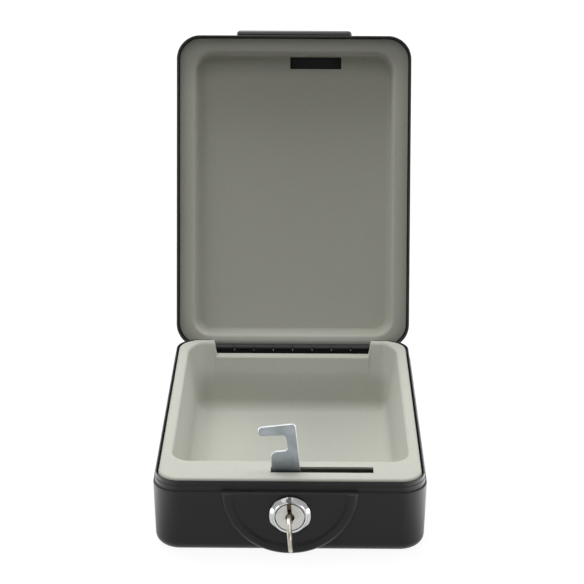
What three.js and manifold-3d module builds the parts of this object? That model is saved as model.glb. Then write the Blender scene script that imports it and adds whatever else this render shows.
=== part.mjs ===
// Portable car safe: a pressed steel box and a lid on a piano hinge, with flocked liners,
// a wafer lock whose hook catches the lid, and a folding carrying handle.
// Millimetres, +Z up. The origin is under the middle of the box, the front faces -Y,
// and the model stands with its lid open, its hook up and its key in the lock.
import * as THREE from "three";
import { mergeVertices } from "three/addons/utils/BufferGeometryUtils.js";
import Module from "manifold-3d";

const wasm = await Module();
wasm.setup();

// Case
const WIDTH = 180; // outside, across the front
const DEPTH = 240; // outside, front to back
const CORNER_R = 18; // corners seen from above
const SHEET = 1; // steel thickness
const SHOULDER_Z = 44.5; // parting line between box and lid
const EDGE_R = 7; // rounding from the walls into the floor and the lid's top
const DRAFT = 1.4; // degrees that the walls lean in, away from the parting line
const LIP_INSET = 1.5; // the inner lip stands in from the wall
const LIP_RISE = 7.3; // height of the lip above the shoulder
const LID_RISE = 45.5; // height of the lid above the parting line
const RIM_GAP = 0.3; // between the closed lid and the shoulder
const OPEN_ANGLE = 107.5; // degrees from closed to the open stop
const FIT = 0.3; // gap between pieces that touch

// Hinge
const HINGE_LENGTH = 120;
const HINGE_KNUCKLES = 8;
const KNUCKLE_R = 2.15;
const KNUCKLE_GAP = 0.4; // between neighbouring knuckles
const HINGE_PIN_R = 1;
const HINGE_BORE_R = 1.3;
const LEAF = 0.6; // leaf thickness
const LEAF_REACH = 9; // from the hinge axis to the leaf's free edge
const HINGE_CLEAR = 0.5; // round the knuckles, in the walls and the other leaf
const NOTCH_FLARE = 2.5; // the lip's cut-out is wider at the top, on each side

// Box liner
const LINER = 1.5; // moulded sheet
const LEDGE_Z = 52.2; // top of the ledge round the compartment
const LEDGE_EDGE_R = 2.4; // rounded outer edge of the ledge
const SKIRT_Z = 46; // lower edge of the ledge's skirt
const SIDE_LEDGE = 9.2; // from the outside of the case to the compartment, at the sides
const FRONT_LEDGE = 29; // the same at the front, over the lock
const BACK_LEDGE = 13; // and at the back
const TRAY_CORNER_R = 15;
const TRAY_FLOOR_Z = 4.5;
const TRAY_DRAFT = 9;
const TRAY_FILLET = 8;
const TRAY_EDGE_R = 2;
const HINGE_LEDGE_Z = 43; // lowered ledge beside the hinge
const HINGE_LEDGE_HALF = 58; // half its width
const HINGE_LEDGE_BACK = 6.4; // from the outside of the case to its back edge

// Lid liner
const LID_LINER = 1;
const LID_LEDGE_DEPTH = 9.6; // from the rim to the ledge
const LID_LEDGE_SIDE = 10.7; // from the outside of the case to the edge of the ledge
const LID_LEDGE_FRONT = 9.7;
const LID_LEDGE_BACK = 6.3;
const LID_SKIRT = 6; // turned edge along the wall
const LID_SKIRT_R = 1.5;
const LID_FLOOR_DEPTH = 29.5; // from the rim to the panel
const LID_TRAY_DRAFT = 4;
const LID_TRAY_FILLET = 1.5;
const LID_TRAY_EDGE_R = 3;
const LID_TRAY_CORNER_R = 12;

// Lock boss pressed out of the front wall
const BOSS_R = 44.8;
const BOSS_CAP = 1.5; // metal left over the hollow behind the boss
const BOSS_CENTRE_Z = 45.2; // the half disc is cut off flat at the shoulder
const BOSS_FACE = 2.2; // its flat face stands proud of the wall
const BOSS_RIDGE = 3.6; // and its ridge
const BOSS_RIDGE_WIDTH = 8.5;

// Lock
const LOCK_X = 0.2;
const LOCK_Z = 29.5;
const BEZEL_R = 13.65;
const BEZEL_FLAT_R = 11.4; // front ring of the bezel
const BEZEL_RISE = 3.6; // in front of the boss
const BEZEL_BRIM = 1.4; // straight part of the bezel's edge
const MARK_HALF = 1.8; // the sunk mark at the top of the bezel
const MARK_IN = 10.3;
const MARK_OUT = 13;
const MARK_DEPTH = 2.4;
const BODY_R = 9.4;
const BODY_LENGTH = 16.6; // behind the boss face
const FACE_R = 9.4; // rotating face
const FACE_THICKNESS = 2.6;
const PLUG_R = 6.5;
const TURN_GAP = 0.3; // round the rotating plug
const NUT_FLATS = 24;
const NUT_THICKNESS = 4;
const NUT_TURN = 30; // degrees, so that two of its flats lie level
const WASHER_R = 12.8;
const WASHER_THICKNESS = 0.8;
const WASHER_TEETH = 12;
const WASHER_TOOTH = 1; // depth of the gaps between its teeth
const KEYWAY_WIDTH = 2.8;
const KEYWAY_HEIGHT = 8.8;
const KEYWAY_RING_R = 3.1; // round recess in the face
const KEYWAY_RING_DEPTH = 2.2;
const LOCK_TILT = 4.5; // degrees that the plug has turned past upright

// Wafers in the plug
const WAFER_COUNT = 5;
const WAFER_PITCH = 2.7;
const WAFER_FIRST = 5.4; // from the rotating face to the first wafer
const WAFER_WIDTH = 5.4;
const WAFER_HEIGHT = 11;
const WAFER_THICKNESS = 1;
const WAFER_FOOT = 1.6; // lug that the spring pushes on
const WAFER_FOOT_HEIGHT = 1.6;
const SPRING_R = 0.5;
const SPRING_WIRE_R = 0.14;
const SPRING_LENGTH = 3.4;
const SPRING_TURNS = 3;
const SPRING_STEPS = 8;

// Key
const KEY_BLADE_WIDTH = 7.4;
const KEY_BLADE_THICKNESS = 1.9;
const KEY_BLADE_IN = 17; // length inside the plug
const KEY_CUT = 1.1; // depth of the bitting
const KEY_NOTCH_R = 1.65; // half the width of a cut, measured where it is widest
const KEY_BOW_R = 11.9;
const KEY_BOW_REACH = 21.5; // from the rotating face to the middle of the bow
const KEY_BOW_THICKNESS = 2.3;
const KEY_HOLE_R = 3;
const KEY_HOLE_OUT = 4.2; // hole centre beyond the middle of the bow

// Hook on the plug
const HOOK_FRONT = 16.4; // from the outside of the front wall to the hook's front face
const HOOK_THICKNESS = 2;
const HOOK_HUB_R = 11; // below the lock's axis
const HOOK_HUB_LEFT = 10; // and to its left
const HOOK_SQUARE = 7; // square end of the plug
const HOOK_NECK_LEFT = -1.9; // x of the notch
const HOOK_FOOT_LEFT = -12.4;
const HOOK_RIGHT = 8.8; // x of the right edge at the height of the lock
const HOOK_TOP_RIGHT = 3.4;
const HOOK_SHOULDER_Z = 66.4; // notch from here
const HOOK_FINGER_Z = 77.6; // to the underside of the finger
const HOOK_FINGER_DROP = 0.9; // the underside falls towards the tip
const HOOK_REACH = 57; // furthest point from the lock's axis
const HOOK_TIP_LEFT = -20.9;
const HOOK_TIP_Z = 80.4;
const HOOK_TIP_TOP = -18.4; // x of the finger's upper corner
const HOOK_TIP_SLANT = 3; // the finger's end leans in towards its underside
const HOOK_NECK_LEAN = 1; // the notch leans this far to the left at the top
const HOOK_NECK_STEP = 0.5;
const HOOK_EASE = 0.6; // the rounded corners stay this far inside the reach
const HOOK_TOP_R = 3;
const HOOK_TIP_R = 2;
const HOOK_NOTCH_R = 2.2;
const HOOK_FOOT_R = 4.2;
const HOOK_SIDE_R = 8;
const HOOK_HUB_CORNER_R = 6;
const SCREW_HEAD_R = 4;
const SCREW_HEAD = 2.2;
const SCREW_CROWN = 0.7; // of the head's radius is flat on top
const SCREW_CROSS = 4; // length of the cross slot
const SCREW_CROSS_WIDTH = 0.9;
const SCREW_R = 1.9;
const SCREW_LENGTH = 5;

// Slots that the hook swings through
const LEDGE_SLOT_LEFT = -12.7;
const LEDGE_SLOT_FRONT = 13.5; // from the outside of the case to the slot
const LEDGE_SLOT_WIDTH = 8.2;
const SLOT_CLEAR = 1.6; // round the hook's sweep

// Catch plate in the lid
const CATCH = 1.2;
const CATCH_SIDE = 19; // of the slot, on the left
const CATCH_MARGIN = 3.4; // and on the right
const CATCH_DEPTH = 26; // from the lid's front wall
const CATCH_FLANGE = 14;
const CATCH_RIVET_GAP = 0.7; // to the heads of the handle's rivets
const CATCH_NOTCH = 4; // in the plate's corner, clear of the rivets
const CATCH_SLOT_FRONT = 14.6; // from the outside of the case to the slot
const CATCH_SLOT_WIDTH = 10;

// Carrying handle on the lid's front wall
const HANDLE_PIVOT_RISE = 27.5; // above the parting line
const HANDLE_PIN_OUT = 2.3; // pin axis in front of the wall
const HANDLE_PIN_R = 1.1;
const HANDLE_BORE_R = 1.2;
const GRIP_HALF = 44.6;
const GRIP_REACH = 21; // from the pin to the grip's lower edge
const GRIP_BAR = 9; // width of the bar
const GRIP_ARM = 6.4;
const GRIP_FLOAT = 0.5; // above the wall
const GRIP_TOP = 4.6; // above the wall
const GRIP_END_R = 3.8;
const GRIP_BACK_R = 1.2; // lower edge towards the wall
const GRIP_EDGE_R = 2.2; // outer edges
const GRIP_SLOPE = 2; // over which the bar narrows to the arms
const ARM_EYE_R = 1.9;
const BRACKET_GAP = 0.8; // between the grip's arm and the bracket inside it
const BRACKET_FOOT = 4.6; // along the case
const BRACKET_EAR = 1.8;
const BRACKET_HEIGHT = 15;
const BRACKET_PLATE = 1.6;
const RIVET_R = 1.2;
const RIVET_HEAD_R = 1.9;
const RIVET_HEAD = 0.7;
const RIVET_SPACING = 10;

const ARC_STEPS = 6; // facets in a quarter turn
const OVER = 1; // how far a cutter runs past a face
const FAR = 300; // past everything
const MERGE = 1e-4; // vertices closer than this are one

const rad = THREE.MathUtils.degToRad;
const HALF_W = WIDTH / 2;
const HALF_D = DEPTH / 2;
const lean = (distance) => distance * Math.tan(rad(DRAFT));

// Finishes
const finish = (color, roughness, metalness) =>
  new THREE.MeshStandardMaterial({ color, roughness, metalness });
const blackCoat = finish(0x2d2e2e, 0.5, 0.2);
const blackPlastic = finish(0x232626, 0.3, 0);
const flock = finish(0xcfd0c4, 0.95, 0);
const lidFlock = finish(0xa9aa9e, 0.95, 0);
const chromed = finish(0xd8dadb, 0.12, 1);
const nickel = finish(0xc3c4bd, 0.35, 1);
const zincPlate = finish(0xa3b1b6, 0.35, 1);
const brass = finish(0xb49a55, 0.35, 1);
const springSteel = finish(0x8b8f93, 0.3, 1);

// Solids

function solid(geometry) {
  const bare = geometry.clone().deleteAttribute("normal").deleteAttribute("uv");
  const merged = mergeVertices(bare.index ? bare.toNonIndexed() : bare, MERGE);
  const triVerts = [];
  const all = merged.index.array;
  for (let i = 0; i < all.length; i += 3) {
    const [a, b, c] = [all[i], all[i + 1], all[i + 2]];
    if (a !== b && b !== c && c !== a) triVerts.push(a, b, c);
  }
  const made = new wasm.Manifold(
    new wasm.Mesh({
      numProp: 3,
      vertProperties: merged.attributes.position.array,
      triVerts: new Uint32Array(triVerts),
    })
  );
  if (made.volume() <= 0) throw new Error("inside out: reverse the profile");
  return made;
}

function part(name, body, material) {
  const { vertProperties, triVerts } = body.getMesh();
  const geometry = new THREE.BufferGeometry();
  geometry.setAttribute("position", new THREE.BufferAttribute(vertProperties, 3));
  geometry.setIndex(new THREE.BufferAttribute(triVerts, 1));
  geometry.computeVertexNormals();
  const mesh = new THREE.Mesh(geometry, material);
  mesh.name = name;
  return mesh;
}

function group(parts, x = 0, y = 0, z = 0) {
  const made = new THREE.Group();
  made.position.set(x, y, z);
  made.add(...parts);
  return made;
}

// A box between two corners.
function block(x0, x1, y0, y1, z0, z1) {
  const box = new THREE.BoxGeometry(x1 - x0, y1 - y0, z1 - z0);
  return solid(box.translate((x0 + x1) / 2, (y0 + y1) / 2, (z0 + z1) / 2));
}

// A rod along X or Y, or an upright one.
function rod(axis, radius, from, to, sides = 4 * ARC_STEPS) {
  const made = new THREE.CylinderGeometry(radius, radius, to - from, sides);
  made.translate(0, (from + to) / 2, 0);
  if (axis === "x") made.rotateZ(-Math.PI / 2);
  if (axis === "z") made.rotateX(Math.PI / 2);
  return solid(made);
}

// A turned piece about the Y axis, from points of radius and y.
function turned(points, sides = 6 * ARC_STEPS) {
  const profile = points.map(([r, y]) => new THREE.Vector2(r, y));
  return solid(new THREE.LatheGeometry(profile, sides));
}

// An outline in X and Z, extruded along Y from front to back.
function plateXZ(shape, front, back) {
  const made = new THREE.ExtrudeGeometry(shape, {
    depth: back - front,
    bevelEnabled: false,
    curveSegments: ARC_STEPS,
  });
  return solid(made.rotateX(Math.PI / 2).translate(0, back, 0));
}

// An outline in X and Y, extruded upwards.
function plateXY(shape, low, high) {
  const made = new THREE.ExtrudeGeometry(shape, {
    depth: high - low,
    bevelEnabled: false,
    curveSegments: ARC_STEPS,
  });
  return solid(made.translate(0, 0, low));
}

// A closed outline through corners [x, y, radius], each rounded by its radius.
function rounded(corners) {
  const shape = new THREE.Shape();
  corners.forEach(([x, y, radius = 0], i) => {
    const here = new THREE.Vector2(x, y);
    const toward = (k) => {
      const [nx, ny] = corners[(i + k + corners.length) % corners.length];
      return new THREE.Vector2(nx, ny).sub(here).normalize();
    };
    const before = toward(-1);
    const after = toward(1);
    const half = before.angleTo(after) / 2;
    const back = radius / Math.tan(half);
    const start = here.clone().addScaledVector(before, back);
    const end = here.clone().addScaledVector(after, back);
    if (i === 0) shape.moveTo(start.x, start.y);
    else shape.lineTo(start.x, start.y);
    if (radius > 0) shape.quadraticCurveTo(x, y, end.x, end.y);
  });
  shape.closePath();
  return shape;
}

// Points of an arc in a wall's profile, as [inset, z].
function arc(inset, z, radius, from, to) {
  const steps = Math.max(2, Math.round((Math.abs(to - from) / 90) * ARC_STEPS));
  return Array.from({ length: steps + 1 }, (_, i) => {
    const angle = rad(from + ((to - from) * i) / steps);
    return [inset - radius * Math.cos(angle), z + radius * Math.sin(angle)];
  });
}

// A solid with a rounded-rectangle plan. The profile lists [inset, z] from the middle of the
// bottom, round the outside, to the middle of the top or of a hollow's floor.
function pan(plan, profile) {
  const { halfX, front, back, radius } = plan;
  const perRing = 4 * (ARC_STEPS + 1);
  const midY = (front + back) / 2;
  const halfY = (back - front) / 2;
  const position = [];
  for (const [inset, z] of profile) {
    const r = Math.max(radius - inset, 1);
    for (let k = 0; k < perRing; k++) {
      const corner = Math.floor(k / (ARC_STEPS + 1));
      const step = k % (ARC_STEPS + 1);
      const angle = ((corner + step / ARC_STEPS) * Math.PI) / 2;
      const signX = corner === 0 || corner === 3 ? 1 : -1;
      const signY = corner < 2 ? 1 : -1;
      const x = signX * (halfX - inset - r) + r * Math.cos(angle);
      const y = midY + signY * (halfY - inset - r) + r * Math.sin(angle);
      position.push(x, y, z);
    }
  }
  const last = profile.length - 1;
  position.push(0, midY, profile[0][1], 0, midY, profile[last][1]);
  const bottom = profile.length * perRing;
  const index = [];
  for (let k = 0; k < perRing; k++) {
    const next = (k + 1) % perRing;
    index.push(bottom, next, k);
    index.push(bottom + 1, last * perRing + k, last * perRing + next);
    for (let ring = 0; ring < last; ring++) {
      const low = ring * perRing;
      const high = low + perRing;
      index.push(low + k, low + next, high + next);
      index.push(low + k, high + next, high + k);
    }
  }
  const geometry = new THREE.BufferGeometry();
  geometry.setAttribute("position", new THREE.Float32BufferAttribute(position, 3));
  geometry.setIndex(index);
  return solid(geometry);
}

const casePlan = { halfX: HALF_W, front: -HALF_D, back: HALF_D, radius: CORNER_R };

// The hinge axis runs along X at the parting line of the back wall, where hinge pieces and
// the lid have their own origin.
const knucklePitch = HINGE_LENGTH / HINGE_KNUCKLES;
const notchHalf = HINGE_LENGTH / 2 + HINGE_CLEAR;

// Box shell

const lipInner = LIP_INSET + SHEET;
const lipTop = SHOULDER_Z + LIP_RISE;

function bossDisc(radius, topZ, front, back) {
  const shape = new THREE.Shape();
  const top = topZ - BOSS_CENTRE_Z;
  const start = Math.asin(top / radius);
  shape.absarc(0, BOSS_CENTRE_Z, radius, Math.PI - start, start + 2 * Math.PI, false);
  return plateXZ(shape, front, back);
}

// The ridge round the boss, as a turned ring cut off at the top, flush with the shoulder.
function bossRidge() {
  const wall = -HALF_D;
  const inner = BOSS_R - BOSS_RIDGE_WIDTH;
  const crest = BOSS_RIDGE_WIDTH / 4;
  const ring = turned([
    [0, wall - BOSS_FACE],
    [inner, wall - BOSS_FACE],
    [inner + crest, wall - BOSS_RIDGE],
    [BOSS_R - crest, wall - BOSS_RIDGE],
    [BOSS_R, wall - BOSS_RIDGE / 2],
    [BOSS_R, wall + EDGE_R],
    [0, wall + EDGE_R],
  ]);
  const keep = block(-FAR, FAR, -FAR, FAR, -FAR, SHOULDER_Z);
  return ring.translate([0, 0, BOSS_CENTRE_Z]).intersect(keep);
}

// The cut-out in the back lip, wider at the top.
function lipNotch(low, half, front, back) {
  const top = lipTop + OVER;
  const shape = rounded([
    [-half, low, 0],
    [half, low, 0],
    [half + NOTCH_FLARE, top, 0],
    [-half - NOTCH_FLARE, top, 0],
  ]);
  return plateXZ(shape, front, back);
}

function baseShell() {
  const foot = lean(SHOULDER_Z - EDGE_R);
  const outer = pan(casePlan, [
    ...arc(foot + EDGE_R, EDGE_R, EDGE_R, -90, 0),
    [0, SHOULDER_Z - SHEET / 2],
    [SHEET / 2, SHOULDER_Z],
    [LIP_INSET, SHOULDER_Z + SHEET / 2],
    [LIP_INSET, lipTop],
  ]);
  const inner = pan(casePlan, [
    ...arc(foot + EDGE_R, EDGE_R, EDGE_R - SHEET, -90, 0),
    [SHEET, SHOULDER_Z - SHEET],
    [lipInner, SHOULDER_Z - SHEET / 2],
    [lipInner, lipTop + OVER],
  ]);
  const bossHollow = bossDisc(
    BOSS_R - BOSS_RIDGE_WIDTH,
    SHOULDER_Z - BOSS_CAP,
    -HALF_D - SHEET,
    -HALF_D + EDGE_R
  );
  const hole = rod("y", BODY_R + FIT, -FAR, 0).translate([LOCK_X, 0, LOCK_Z]);
  const low = SHOULDER_Z - KNUCKLE_R - HINGE_CLEAR;
  return outer
    .add(bossRidge())
    .subtract(inner)
    .subtract(bossHollow)
    .subtract(hole)
    .subtract(lipNotch(low, notchHalf, HALF_D - CORNER_R, FAR));
}

// Box liner

const ledgeInset = lipInner + FIT;
const trayPlan = {
  halfX: HALF_W - SIDE_LEDGE,
  front: -HALF_D + FRONT_LEDGE,
  back: HALF_D - BACK_LEDGE,
  radius: TRAY_CORNER_R,
};

// The tray's wall from its floor up to z, offset outwards by a thickness.
function trayProfile(thickness) {
  const slope = Math.tan(rad(TRAY_DRAFT));
  const wallTop = LEDGE_Z - TRAY_EDGE_R;
  const fillet = TRAY_FILLET + thickness;
  const filletZ = TRAY_FLOOR_Z + TRAY_FILLET;
  const foot = TRAY_EDGE_R + (wallTop - filletZ) * slope - thickness;
  return [
    ...arc(foot + fillet, filletZ, fillet, -90, -TRAY_DRAFT),
    [TRAY_EDGE_R - thickness, wallTop],
  ];
}

function slotBox(left, right, front, width, low, high) {
  return block(left, right, -HALF_D + front, -HALF_D + front + width, low, high);
}

// How far to the right of the lock's axis the hook passes through a sheet at height z.
const sweepRight = (z) => LOCK_X + Math.sqrt(HOOK_REACH ** 2 - (z - LOCK_Z) ** 2) + SLOT_CLEAR;

function baseLiner() {
  const edge = arc(ledgeInset + LEDGE_EDGE_R, LEDGE_Z - LEDGE_EDGE_R, LEDGE_EDGE_R, 0, 90);
  const ledge = pan(casePlan, [[ledgeInset, SKIRT_Z], ...edge]);
  const under = pan(casePlan, [
    [ledgeInset + LINER, SKIRT_Z - OVER],
    [ledgeInset + LINER, LEDGE_Z - LINER],
  ]);
  const tubTop = LEDGE_Z - LINER / 2;
  const tub = pan(trayPlan, [...trayProfile(LINER), [TRAY_EDGE_R - LINER, tubTop]]);
  const cavity = pan(trayPlan, [
    ...trayProfile(0),
    ...arc(0, LEDGE_Z - TRAY_EDGE_R, -TRAY_EDGE_R, 0, -90),
    [0, LEDGE_Z + OVER],
  ]);
  const back = HALF_D - HINGE_LEDGE_BACK;
  const front = trayPlan.back - TRAY_CORNER_R;
  const half = HINGE_LEDGE_HALF;
  const sill = lipNotch(HINGE_LEDGE_Z - LINER, half + LINER, front, back);
  const fill = block(-FAR, FAR, front, back, HINGE_LEDGE_Z - LINER, LEDGE_Z - LINER / 2);
  const cut = lipNotch(HINGE_LEDGE_Z, half, front, HALF_D);
  const behind = block(-half - LINER, half + LINER, back, HALF_D, 0, LEDGE_Z - OVER);
  const slot = slotBox(
    LEDGE_SLOT_LEFT,
    sweepRight(LEDGE_Z - LINER),
    LEDGE_SLOT_FRONT,
    LEDGE_SLOT_WIDTH,
    SKIRT_Z,
    LEDGE_Z + OVER
  );
  return ledge
    .subtract(under)
    .add(tub)
    .add(sill.intersect(fill))
    .subtract(cavity)
    .subtract(cut)
    .subtract(behind)
    .subtract(slot);
}

// Piano hinge

// One leaf about the hinge axis, hanging down, with every second knuckle from the first.
function hingeLeaf(first) {
  const half = HINGE_LENGTH / 2;
  const clear = KNUCKLE_R + HINGE_CLEAR;
  const side = -KNUCKLE_R;
  let leaf = block(-half, half, side, side + LEAF, -LEAF_REACH, -clear);
  for (let i = first; i < HINGE_KNUCKLES; i += 2) {
    const from = -half + i * knucklePitch + KNUCKLE_GAP / 2;
    const to = from + knucklePitch - KNUCKLE_GAP;
    leaf = leaf.add(block(from, to, side, side + LEAF, -clear - LEAF, 0));
    leaf = leaf.add(rod("x", KNUCKLE_R, from, to, 2 * ARC_STEPS));
  }
  return leaf.subtract(rod("x", HINGE_BORE_R, -FAR, FAR, 2 * ARC_STEPS));
}

function hingePin() {
  const half = HINGE_LENGTH / 2;
  return rod("x", HINGE_PIN_R, -half, half, 2 * ARC_STEPS);
}

// Lid, built closed in the hinge's frame and then swung open with its group

const lidPlan = { halfX: HALF_W, front: -DEPTH, back: 0, radius: CORNER_R };

function lidShell() {
  const edgeZ = LID_RISE - EDGE_R;
  const crown = lean(edgeZ);
  const outer = pan(lidPlan, [
    [0, RIM_GAP],
    ...arc(crown + EDGE_R, edgeZ, EDGE_R, 0, 90),
  ]);
  const inner = pan(lidPlan, [
    [SHEET, RIM_GAP - OVER],
    [SHEET, RIM_GAP],
    ...arc(crown + EDGE_R, edgeZ, EDGE_R - SHEET, 0, 90),
  ]);
  const high = KNUCKLE_R + HINGE_CLEAR;
  const notch = block(-notchHalf, notchHalf, -SHEET * 2, OVER, -OVER, high);
  let shell = outer.subtract(inner).subtract(notch);
  for (const [x, z] of rivetPlaces()) {
    const hole = rod("y", RIVET_R + FIT / 2, -DEPTH - OVER, -DEPTH + 4 * SHEET, ARC_STEPS * 2);
    shell = shell.subtract(hole.translate([x, 0, z]));
  }
  return shell;
}

// The lid liner's tray, from its ledge up to its panel, offset by a thickness.
function lidTrayPlan() {
  return {
    halfX: HALF_W - LID_LEDGE_SIDE,
    front: -DEPTH + LID_LEDGE_FRONT,
    back: -LID_LEDGE_BACK,
    radius: LID_TRAY_CORNER_R,
  };
}

function lidTrayProfile(thickness) {
  const slope = Math.tan(rad(LID_TRAY_DRAFT));
  const wallZ = LID_LEDGE_DEPTH + LID_TRAY_EDGE_R;
  const filletZ = LID_FLOOR_DEPTH - LID_TRAY_FILLET;
  const crown = LID_TRAY_EDGE_R + (filletZ - wallZ) * slope - thickness;
  const fillet = LID_TRAY_FILLET + thickness;
  return [
    [LID_TRAY_EDGE_R - thickness, wallZ],
    ...arc(crown + fillet, filletZ, fillet, LID_TRAY_DRAFT, 90),
  ];
}

function lidLiner() {
  const side = SHEET + FIT + lean(LID_LEDGE_DEPTH + LID_SKIRT);
  const ledge = pan(lidPlan, [
    ...arc(side + LID_SKIRT_R, LID_LEDGE_DEPTH + LID_SKIRT_R, LID_SKIRT_R, -90, 0),
    [side, LID_LEDGE_DEPTH + LID_SKIRT],
  ]);
  const above = pan(lidPlan, [
    [side + LID_LINER, LID_LEDGE_DEPTH + LID_LINER],
    [side + LID_LINER, LID_LEDGE_DEPTH + LID_SKIRT + OVER],
  ]);
  const tub = pan(lidTrayPlan(), [
    [0, LID_LEDGE_DEPTH + LID_LINER / 2],
    ...arc(0, LID_LEDGE_DEPTH + LID_TRAY_EDGE_R, LID_LINER - LID_TRAY_EDGE_R, 90, 0),
    ...lidTrayProfile(LID_LINER),
  ]);
  const cavity = pan(lidTrayPlan(), [
    [0, LID_LEDGE_DEPTH - OVER],
    ...arc(0, LID_LEDGE_DEPTH + LID_TRAY_EDGE_R, -LID_TRAY_EDGE_R, 90, 0),
    ...lidTrayProfile(0),
  ]);
  return ledge
    .subtract(above)
    .add(tub)
    .subtract(cavity)
    .subtract(catchSlot(LID_FLOOR_DEPTH - LID_TRAY_FILLET - OVER, catchLow + OVER));
}

// Catch plate over the lid liner's slot, on the inside of the lid's front wall

const catchLow = LID_FLOOR_DEPTH + LID_LINER + FIT;
const catchSlotLeft = HOOK_NECK_LEFT - HOOK_NECK_LEAN - FIT;
const catchSlotRight = sweepRight(SHOULDER_Z + LID_FLOOR_DEPTH);

function catchSlot(low, high) {
  const front = -DEPTH + CATCH_SLOT_FRONT;
  return block(catchSlotLeft, catchSlotRight, front, front + CATCH_SLOT_WIDTH, low, high);
}

function latchCatch() {
  const wall = -DEPTH + SHEET + FIT + lean(catchLow + CATCH);
  const left = catchSlotLeft - CATCH_SIDE;
  const right = catchSlotRight + CATCH_MARGIN;
  const top = catchLow + CATCH;
  const plate = block(left, right, wall, wall + CATCH_DEPTH, catchLow, top);
  const edge = top - CATCH_FLANGE;
  const clear = rivetX - RIVET_HEAD_R - CATCH_RIVET_GAP;
  const flange = block(left, clear, wall, wall + CATCH, edge, top);
  const cut = [catchLow - OVER, top + OVER];
  const corner = block(clear, right + OVER, wall - OVER, wall + CATCH_NOTCH, ...cut);
  return plate.add(flange).subtract(corner).subtract(catchSlot(...cut));
}

// Lock, built about its own axis along Y, with y = 0 on the outside of the front wall

const bossFace = -BOSS_FACE - FIT;
const lockFace = bossFace - BEZEL_RISE;
const bodyBack = bossFace + BODY_LENGTH;

function lockHousing() {
  const step = bossFace - BEZEL_BRIM;
  const faceBore = FACE_R + TURN_GAP;
  const plugBore = PLUG_R + TURN_GAP;
  const recess = lockFace + FACE_THICKNESS + TURN_GAP;
  const mark = block(
    -MARK_HALF,
    MARK_HALF,
    lockFace - OVER,
    lockFace + MARK_DEPTH,
    MARK_IN,
    MARK_OUT
  );
  const body = turned([
    [faceBore, lockFace + TURN_GAP],
    [BEZEL_FLAT_R, lockFace],
    [BEZEL_R, step],
    [BEZEL_R, bossFace],
    [BODY_R, bossFace],
    [BODY_R, bodyBack],
    [plugBore, bodyBack],
    [plugBore, recess],
    [faceBore, recess],
    [faceBore, lockFace + TURN_GAP],
  ]);
  return body.subtract(mark);
}

function lockWasher() {
  const shape = new THREE.Shape();
  const inner = WASHER_R - WASHER_TOOTH;
  for (let i = 0; i < 2 * WASHER_TEETH; i++) {
    const angle = (Math.PI * i) / WASHER_TEETH;
    const r = i % 2 ? inner : WASHER_R;
    if (i === 0) shape.moveTo(r, 0);
    else shape.lineTo(r * Math.cos(angle), r * Math.sin(angle));
  }
  shape.closePath();
  const from = FIT - SHEET; // the boss is hollow up to here
  const ring = plateXZ(shape, from, from + WASHER_THICKNESS);
  return ring.subtract(rod("y", BODY_R + FIT, -FAR, FAR));
}

function lockNut() {
  const from = 2 * FIT - SHEET + WASHER_THICKNESS;
  const radius = NUT_FLATS / 2 / Math.cos(Math.PI / 6);
  const hex = rod("y", radius, from, from + NUT_THICKNESS, 6).rotate([0, NUT_TURN, 0]);
  return hex.subtract(rod("y", BODY_R + FIT, -FAR, FAR));
}

const waferY = (i) => lockFace + WAFER_FIRST + i * WAFER_PITCH;
const hookFront = HOOK_FRONT;
const hookBack = hookFront + HOOK_THICKNESS;
const footBottom = -WAFER_FOOT_HEIGHT / 2;

function lockPlug() {
  const face = rod("y", FACE_R, lockFace, lockFace + FACE_THICKNESS, 6 * ARC_STEPS);
  const barrel = rod("y", PLUG_R, lockFace + FACE_THICKNESS, hookFront - FIT);
  const half = HOOK_SQUARE / 2;
  const square = block(-half, half, hookFront - OVER, hookBack - FIT, -half, half);
  const keyway = block(
    -KEYWAY_WIDTH / 2,
    KEYWAY_WIDTH / 2,
    lockFace - OVER,
    lockFace + KEY_BLADE_IN + OVER,
    -KEYWAY_HEIGHT / 2,
    KEYWAY_HEIGHT / 2
  );
  const open = block(
    -KEYWAY_WIDTH / 2,
    KEYWAY_WIDTH / 2,
    lockFace - OVER,
    lockFace + KEYWAY_RING_DEPTH,
    0,
    FACE_R + OVER
  );
  const ring = rod("y", KEYWAY_RING_R, lockFace - OVER, lockFace + KEYWAY_RING_DEPTH);
  const tapped = rod("y", SCREW_R + FIT / 2, hookBack - SCREW_LENGTH - OVER, FAR, 2 * ARC_STEPS);
  let plug = face.add(barrel).add(square);
  for (const cut of [keyway, open, ring, tapped]) plug = plug.subtract(cut);
  for (let i = 0; i < WAFER_COUNT; i++) plug = plug.subtract(waferSlot(waferY(i)));
  return plug;
}

// The slot across the plug for one wafer, with a side pocket for its foot and spring.
function waferSlot(y) {
  const halfY = WAFER_THICKNESS / 2 + FIT;
  const halfX = WAFER_WIDTH / 2 + FIT;
  const slot = block(-halfX, halfX, y - halfY, y + halfY, -FAR, FAR);
  const bottom = footBottom - SPRING_LENGTH - 2 * FIT;
  const pocket = block(0, halfX + WAFER_FOOT, y - halfY, y + halfY, bottom, -bottom);
  return slot.add(pocket);
}

function wafer(i) {
  const y = waferY(i);
  const [front, back] = [y - WAFER_THICKNESS / 2, y + WAFER_THICKNESS / 2];
  const [w, h] = [WAFER_WIDTH / 2, WAFER_HEIGHT / 2];
  const plate = block(-w, w, front, back, -h, h);
  const foot = block(0, w + WAFER_FOOT, front, back, footBottom, -footBottom);
  const window = block(
    -KEYWAY_WIDTH / 2,
    KEYWAY_WIDTH / 2,
    front - OVER,
    back + OVER,
    -KEYWAY_HEIGHT / 2,
    KEYWAY_HEIGHT / 2
  );
  return plate.add(foot).subtract(window);
}

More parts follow.
